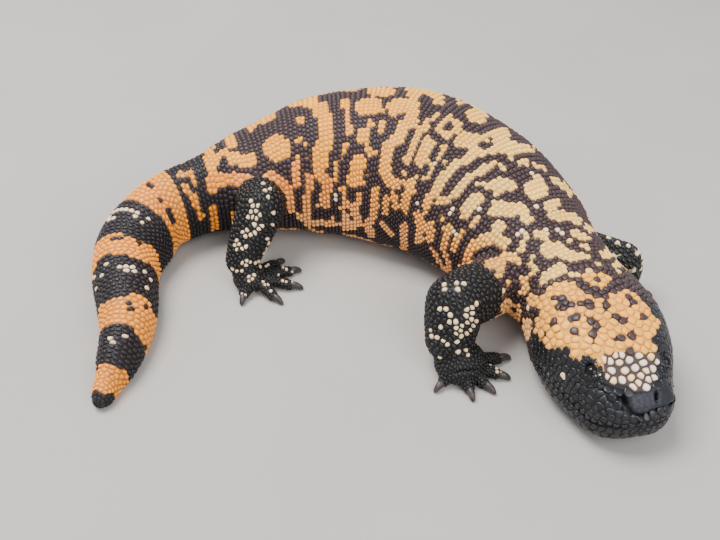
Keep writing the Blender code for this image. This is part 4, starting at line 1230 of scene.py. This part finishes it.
def lay_beads(name, seeds, normals, tints, heights, reach, groove, sides, profile, uv, shade_strength, looks=None,
              ribs=None, patch=0.0015, power=7.0):
    """One or more joined meshes of beads, each with its colour, painted darker towards its foot as shade in
    the grooves, and its own patch of the unwrap.
    """
    across, up, ways, radii = bead_outlines(seeds, normals, reach, groove, sides, power, ribs)
    rings = PROFILES[profile]
    top, size = sides * (len(rings) - 1), sides * len(rings) + 1
    quad, turn = np.array(ring_faces(len(rings), sides)), np.arange(sides)
    fan = np.stack([top + turn, top + (turn + 1) % sides, np.full(sides, size - 1)], 1)
    batch = COAT_LIMIT // (2 * top + sides)
    made = []
    for part, first in enumerate(range(0, len(seeds), batch)):
        take = slice(first, first + batch)
        count = len(seeds[take])
        points, layout = np.empty((count, size, 3)), np.zeros((count, size, 2))
        shade = np.empty((count, size))
        for k, (share, lift, light) in enumerate(rings):
            ring = slice(k * sides, (k + 1) * sides)
            flat = radii[take][:, :, None] * ways[None] * share
            place = seeds[take][:, None] + flat[..., :1] * across[take][:, None]
            place = place + flat[..., 1:] * up[take][:, None]
            points[:, ring] = place + (heights[take] * lift)[:, None, None] * normals[take][:, None]
            # Each ring's painted shade, as strong as the bead's shade strength.
            shade[:, ring] = 1 - (1 - light) * shade_strength[take][:, None]
            layout[:, ring] = ways[None] * share * 0.9
        points[:, -1] = seeds[take] + heights[take][:, None] * normals[take]
        shade[:, -1] = shade[:, -2]
        points[..., 2] = np.maximum(points[..., 2], BEAD_FLOOR)
        shift = (np.arange(count) * size)[:, None, None]
        quads = (quad[None] + shift).reshape(-1, 4)
        fans = (fan[None] + shift).reshape(-1, 3)
        loops = np.concatenate([quads.ravel(), fans.ravel()])
        mesh = bpy.data.meshes.new(f"{name}_{part + 1}")
        mesh.vertices.add(count * size)
        write_array(mesh.vertices, "co", points)
        mesh.loops.add(len(loops))
        write_array(mesh.loops, "vertex_index", loops, np.int32)
        mesh.polygons.add(len(quads) + len(fans))
        starts = np.concatenate([np.arange(len(quads)) * 4, len(quads) * 4 + np.arange(len(fans)) * 3])
        write_array(mesh.polygons, "loop_start", starts, np.int32)
        if looks is not None:
            kinds = np.concatenate([np.repeat(looks[take], top), np.repeat(looks[take], sides)])
            write_array(mesh.polygons, "material_index", kinds, np.int32)
        mesh.update(calc_edges=True)
        set_tint(mesh, (tints[take][:, None] * shade[..., None]).reshape(-1, 3))
        layer = mesh.uv_layers.new(name="OFBake")
        write_array(layer.data, "uv", (uv[take][:, None] + layout * patch).reshape(-1, 2)[loops])
        mesh.shade_smooth()
        made.append(add_object(mesh.name, mesh))
    return made


def unwrap_places(points, station, angle, on_limb):
    """Each seed's place on the unwrap: the body fills the lower half, and each limb a box of the upper."""
    share = ((angle + math.pi / 2) % (2 * math.pi)) / (2 * math.pi)
    body = np.stack([0.004 + 0.99 * station / SNOUT_STATION, 0.004 + 0.49 * share], 1)
    which, _, along, round_it = limb_place(points)
    limb = np.stack([0.004 + 0.25 * np.maximum(which, 0) + 0.24 * along, 0.504 + 0.49 * round_it], 1)
    return np.where(on_limb[:, None], limb, body)


# ---- materials ----
def new_material(name, roughness=0.5):
    made = bpy.data.materials.new(name)
    made.use_nodes = True
    shader = made.node_tree.nodes["Principled BSDF"]
    shader.inputs["Roughness"].default_value = roughness
    shader.inputs["IOR"].default_value = 1.45
    return made, made.node_tree, shader


def add_noise(tree, scale, detail=3.0, rough=0.55):
    place = tree.nodes.new("ShaderNodeTexCoord")
    made = tree.nodes.new("ShaderNodeTexNoise")
    made.inputs["Scale"].default_value = scale
    made.inputs["Detail"].default_value = detail
    made.inputs["Roughness"].default_value = rough
    tree.links.new(place.outputs["Object"], made.inputs["Vector"])
    return made.outputs["Fac"]


def add_range(tree, value, low, high, start=0.3, end=0.7):
    made = tree.nodes.new("ShaderNodeMapRange")
    for key, number in (("From Min", start), ("From Max", end), ("To Min", low), ("To Max", high)):
        made.inputs[key].default_value = number
    tree.links.new(value, made.inputs["Value"])
    return made.outputs["Result"]


def add_bump(tree, shader, height, strength, distance):
    bump = tree.nodes.new("ShaderNodeBump")
    bump.inputs["Strength"].default_value = strength
    bump.inputs["Distance"].default_value = distance
    tree.links.new(height, bump.inputs["Height"])
    tree.links.new(bump.outputs["Normal"], shader.inputs["Normal"])


def add_colours(tree, shader, value, low, high, start=0.0, end=1.0):
    """Base colour that runs from low to high as the value goes from the start to the end."""
    node = tree.nodes.new("ShaderNodeValToRGB")
    elements = node.color_ramp.elements
    elements[0].position, elements[0].color = start, (*low, 1)
    elements[1].position, elements[1].color = end, (*high, 1)
    tree.links.new(value, node.inputs["Fac"])
    tree.links.new(node.outputs["Color"], shader.inputs["Base Color"])


def tinted_material(name, rough_low, rough_high, grain, depth, mottle=(0.82, 1.12), coat=0.0):
    """Colour from the piece's own tint, mottled, with fine pores and an uneven gloss."""
    made, tree, shader = new_material(name)
    tint = tree.nodes.new("ShaderNodeAttribute")
    tint.attribute_name = "tint"
    vary = add_range(tree, add_noise(tree, 620, 4.0), *mottle)
    broad = add_range(tree, add_noise(tree, 60, 2.0), 0.90, 1.08)
    both = tree.nodes.new("ShaderNodeMath")
    both.operation = "MULTIPLY"
    tree.links.new(vary, both.inputs[0])
    tree.links.new(broad, both.inputs[1])
    scaled = tree.nodes.new("ShaderNodeVectorMath")
    scaled.operation = "SCALE"
    tree.links.new(tint.outputs["Color"], scaled.inputs[0])
    tree.links.new(both.outputs["Value"], scaled.inputs["Scale"])
    tree.links.new(scaled.outputs["Vector"], shader.inputs["Base Color"])
    gloss = add_range(tree, add_noise(tree, 900, 3.0), rough_low, rough_high)
    tree.links.new(gloss, shader.inputs["Roughness"])
    add_bump(tree, shader, add_noise(tree, grain, 4.0, 0.6), 0.35, depth)
    shader.inputs["Coat Weight"].default_value = coat
    shader.inputs["Coat Roughness"].default_value = 0.3
    return made


def eye_material():
    made, tree, shader = new_material("eye_dark", 0.06)
    add_colours(tree, shader, add_noise(tree, 700, 2.0), (0.002, 0.002, 0.002), (0.009, 0.006, 0.005))
    shader.inputs["IOR"].default_value = 1.34
    return made


def claw_material():
    made, tree, shader = new_material("claw_horn")
    grain = add_noise(tree, 420, 5.0, 0.7)
    add_colours(tree, shader, grain, (0.018, 0.014, 0.014), (0.075, 0.058, 0.050), 0.35, 0.75)
    tree.links.new(add_range(tree, add_noise(tree, 800), 0.28, 0.45), shader.inputs["Roughness"])
    add_bump(tree, shader, add_noise(tree, 1500, 3.0), 0.3, 0.0001)
    return made


# ---- claws and eyes ----
def build_claws(name, leg):
    """Five curved claws in one piece, each set into the end of its toe."""
    parts = []
    for line, ahead in toe_lines(leg):
        toe_tip = line[-1]
        start = toe_tip - ahead * (CLAW_ROOT + 0.0006) + Vector((0, 0, 0.0004))
        end = toe_tip + ahead * CLAW_LENGTH
        end.z = CLAW_TIP_HEIGHT
        high = start.lerp(end, 0.5) + Vector((0, 0, CLAW_RISE))
        path = rounded_path([start, high, end], 14)
        share = np.linspace(0, 1, 14)
        blunt = np.sqrt(1 - np.clip((share - 0.86) / 0.14, 0, 0.96) ** 2)
        radius = CLAW_RADIUS * (1 - 0.60 * share**2.2) * blunt
        parts.append(tube(f"claws_{name}", path, radius * 0.83, radius * 0.98, 14))
    made = joined(parts, f"claws_{name}")
    made.data.shade_smooth()
    return made


def build_eye(word, side):
    made = ball(f"eye_{word}_ball", *head_place(EYE, side), (EYE_RADIUS,) * 3, 40, 24)
    made.data.shade_smooth()
    return made


# ---- the coat ----
def limb_spacing(points):
    _, _, along, _ = limb_place(points)
    return np.interp(along, *zip(*LIMB_SPACING))


def dotted_spacing(dots):
    """The limbs' spacing, wider round each pale dot so that its bead is larger."""
    tree = tree_of(dots)

    def spacing(points):
        away = np.array([tree.find(place)[2] for place in points])
        return limb_spacing(points) + 0.0007 * np.exp(-(away / 0.0017) ** 2)

    return spacing


def tinted(pale, light, dark, speckle):
    """Each bead's colour: pale or dark, a little different from its neighbours."""
    colour = mixed(dark, light, np.clip(pale * 3 + 0.5, 0, 1))
    own = np.where(pale > 0, 0.55, 1.0) * speckle * (RNG.random(len(pale)) - 0.5)
    return colour * (1 + own)[:, None]


def on_face(points):
    """The head's skin, clear of its lips, lids, nostrils and ears."""
    station, _, outside = body_place(points)
    lips = (station > 0.3845) & (np.abs(points[:, 2] - mouth_height(station)) < LIP_CLEAR)
    wanted = (station > NAPE_STATION - 0.0008) & (outside < HEAD_CLEAR) & ~lips
    wanted &= eye_distance(points) > LID_OUTER
    wanted &= oval_distance(points, NOSTRIL, NOSTRIL_SIZE) > NOSTRIL_CLEAR
    return wanted & (oval_distance(points, EAR, EAR_SIZE) > EAR_CLEAR)


def on_lids(points):
    away = eye_distance(points)
    return (away > LID_INNER) & (away <= LID_OUTER)


def coat_body(surface):
    """Domed beads in rings over the tail and the trunk."""
    seeds, normals = surface.laid(body_rows())
    limb_outside, outside = limb_place(seeds)[1], body_place(seeds)[2]
    keep = (limb_outside > LIMB_CLEAR) & ~past_trunk(limb_outside, outside)
    seeds, normals = seeds[keep], normals[keep]
    pale, light, dark, _, _, station, angle = markings(seeds, normals, True)
    up = np.sin(angle)
    flank, tail = ramp(up, 0.65, -0.6), ramp(station, 0.15, -0.03)
    heights = BEAD_HEIGHT + FLANK_HEIGHT * flank - BELLY_LOSS * ramp(up, -0.5, -0.2)
    heights = heights * np.clip(0.5 + station / 0.03, 0, 1)
    uv = unwrap_places(seeds, station, angle, np.zeros(len(seeds), bool))
    headings = spine_at(station)[2]
    ribs = np.stack([np.cos(headings), np.sin(headings), 0 * headings], 1) * (TAIL_RIB * tail)[:, None]
    groove = (BEAD_GROOVE + FLANK_GROOVE * flank) * (1 - 0.6 * tail)
    # Painted groove shade: stronger on the flanks, weaker on the upper back and the tail.
    shade_strength = 0.45 + 0.55 * flank * (1 - 0.5 * tail)
    return lay_beads("coat_body", seeds, normals, tinted(pale, light, dark, BODY_SPECKLE), heights,
                     BEAD_RADIUS + TAIL_RADIUS * tail, groove, BODY_SIDES, "dome", uv, shade_strength, ribs=ribs)


def coat_limbs(surface):
    """Fine scales over the limbs, larger where the picture shows pale dots."""
    dots = surface.shown_at(paired(LIMB_DOTS))
    dots = dots[on_limbs(dots)]
    sizes = dotted_spacing(dots)
    seeds, normals = surface.laid(surface.scattered(on_limbs, sizes, fixed=dots))
    spacing = sizes(seeds)
    pale, light, dark, _, _, station, angle = markings(seeds, normals, True)
    uv = unwrap_places(seeds, station, angle, np.ones(len(seeds), bool))
    colours = tinted(pale, light, dark, LIMB_SPECKLE)
    groove = spacing * np.where(pale > 0, DOT_GROOVE, SCALE_GROOVE)
    # The limbs' scales get full painted shade at their feet.
    return lay_beads("coat_limbs", seeds, normals, colours, spacing * SCALE_HEIGHT,
                     spacing * SCALE_RADIUS, groove, LIMB_SIDES, "fine", uv, np.ones(len(seeds)))


def coat_head(surface):
    """Plates over the head, its lips and its lids; the smooth block of the nose stays bare."""
    face = surface.scattered(on_face, head_spacing, fixed=surface.shown_at(paired(HEAD_DOTS)))
    lids = surface.scattered(on_lids, lambda points: np.full(len(points), LID_PITCH))
    lips = np.concatenate(lip_seeds())
    row = np.repeat([0, 1, 2], [len(face), len(lips), len(lids)])
    lip, lid, soft = row == 1, row == 2, row > 0
    seeds, normals = surface.laid(np.concatenate([face, lips, lids]))
    spacing = np.where(lid, LID_PITCH, head_spacing(seeds))
    pale, light, dark, apart, smooth, station, angle = markings(seeds, normals, True)
    pale, dark = np.where(soft, -1.0, pale), np.where(soft[:, None], BLACK, dark)
    kind = np.where(lid, 4, np.where(lip, 3, np.where(apart, 2, np.where(smooth, 1, 0))))
    # Painted shade round each plate: full on the pink plates, weaker on the others.
    shade_strength = np.where(apart, 1.0, np.where(smooth | soft, 0.45, 0.5))
    upright = np.where(lip, LIP_RIB, 0.0)[:, None] * np.array([[0, 0, 1.0]])
    uv = unwrap_places(seeds, station, angle, np.zeros(len(seeds), bool))
    columns = (seeds, normals, tinted(pale, light, dark, BODY_SPECKLE), np.array(PLATE_HEIGHTS)[kind],
               spacing * np.where(apart, 0.60, 0.74), np.array(PLATE_GROOVES)[kind], uv, shade_strength,
               np.where(smooth | soft, 1, 0), upright)
    chosen = (nose_depth(seeds, normals) <= 0.5) | lid
    seeds, normals, colours, heights, reach, groove, uv, shade_strength, looks, upright = (
        column[chosen] for column in columns)
    return lay_beads("coat_head", seeds, normals, colours, heights, reach, groove, HEAD_SIDES, "plate",
                     uv, shade_strength, looks, upright, power=8.0)


def paint_skin(skin):
    """Colours the skin, painted darker as shade in the grooves, nostrils and mouth, and the nose; says
    where the nose is.
    """
    points, normals = places_of(skin.data)
    pale, light, dark, _, _, station, angle = markings(points, normals, False)
    # Painted shade: the skin in the grooves between beads is darker, and the pale skin darker still lower
    # down the body.
    above = ramp(np.sin(angle), 0.05, 0.6)
    shaded = np.where(station < 0.14, 0.40 + 0.15 * above, 0.36 + 0.42 * above)
    base = tinted(pale, light, dark, SKIN_SPECKLE) * np.where(pale > 0, shaded, 0.45)[:, None]
    nose = np.clip(nose_depth(points, normals), 0, 1) * (station > NOSE_START)
    base = mixed(base, NOSE_BLUE, nose)
    hole = nostril_hollow(points, 1) + nostril_hollow(points, -1)
    # Painted shade inside the nostrils.
    base = base * (1 - 0.96 * np.clip(1.5 * hole, 0, 1))[:, None]
    # Painted shade along the crease of the mouth.
    mouth = np.exp(-(((points[:, 2] - mouth_height(station)) / 0.0007) ** 2)) * (station > 0.385)
    set_tint(skin.data, base * (1 - 0.8 * mouth)[:, None])
    return nose > 0.3


def dress():
    skin = finish_skin(build_skin())
    surface = Surface(skin)
    bead_look = tinted_material("bead", 0.38, 0.58, 1400, 0.00010)
    head_look = tinted_material("head_plate", 0.34, 0.54, 1300, 0.00012, mottle=(0.84, 1.12), coat=0.08)
    face_look = tinted_material("face_plate", 0.30, 0.46, 1300, 0.00010, mottle=(0.80, 1.16), coat=0.25)
    limb_look = tinted_material("limb_scale", 0.34, 0.54, 1400, 0.00010, coat=0.05)
    skin_look = tinted_material("skin", 0.5, 0.7, 1500, 0.0002)
    nose_look = tinted_material("nose", 0.38, 0.62, 1000, 0.0005, mottle=(0.55, 1.6), coat=0.05)
    body, limbs, head_beads = coat_body(surface), coat_limbs(surface), coat_head(surface)
    on_nose = paint_skin(skin)
    pieces = []
    for group, looks in ((body, [bead_look]), (limbs, [limb_look]), (head_beads, [head_look, face_look])):
        for made in group:
            for look in looks:
                made.data.materials.append(look)
            pieces.append(made)
    skin.data.materials.clear()
    skin.data.materials.append(skin_look)
    skin.data.materials.append(nose_look)
    write_array(skin.data.polygons, "material_index", on_nose[first_corners(skin.data)], np.int32)
    pieces.append(skin)
    flesh = [name for name in frame["nodes"] if "claw" not in name and "eye" not in name]
    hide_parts(*flesh)
    horn, dark_eye = claw_material(), eye_material()
    for name, leg in LEGS.items():
        claws = build_claws(name, leg)
        claws.data.materials.append(horn)
        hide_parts(*[f"{name}_claw_{k}" for k in range(1, 6)])
        pieces.append(claws)
    for side, word in ((1, "right"), (-1, "left")):
        eye = build_eye(word, side)
        eye.data.materials.append(dark_eye)
        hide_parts(f"eye_{word}")
        pieces.append(eye)
    for made in pieces:
        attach(made, "root")


def build_studio():
    """A pale floor, soft light from above and a camera where the picture was taken."""
    floor = mesh_object("floor", [(-3, -3, 0), (3, -3, 0), (3, 3, 0), (-3, 3, 0)], [(0, 1, 2, 3)])
    made, tree, shader = new_material("floor_pale", 0.8)
    add_colours(tree, shader, add_noise(tree, 9, 3.0), (0.38, 0.35, 0.32), (0.44, 0.41, 0.38))
    floor.data.materials.append(made)
    world = bpy.data.worlds.new("soft")
    world.use_nodes = True
    world.node_tree.nodes["Background"].inputs["Color"].default_value = (0.86, 0.92, 1.0, 1)
    world.node_tree.nodes["Background"].inputs["Strength"].default_value = 0.90
    bpy.context.scene.world = world
    for name, place, size, power in LIGHTS:
        data = bpy.data.lights.new(name, "AREA")
        data.size = size
        data.energy = power
        light = add_object(name, data)
        light.location = place
        way = Vector((0, 0, 0.02)) - Vector(place)
        light.rotation_euler = way.to_track_quat("-Z", "Y").to_euler()
    data = bpy.data.cameras.new("camera")
    data.sensor_width = 36.0
    data.lens = 36.0 * FOCAL_PIXELS / FRAME_PIXELS[0]
    data.clip_start = 0.01
    camera = add_object("camera", data)
    camera.location = TARGET - DISTANCE * Vector(FORWARD)
    camera.rotation_euler = (math.pi / 2 - PITCH, 0, 0)
    bpy.context.scene.camera = camera


dress()
build_studio()
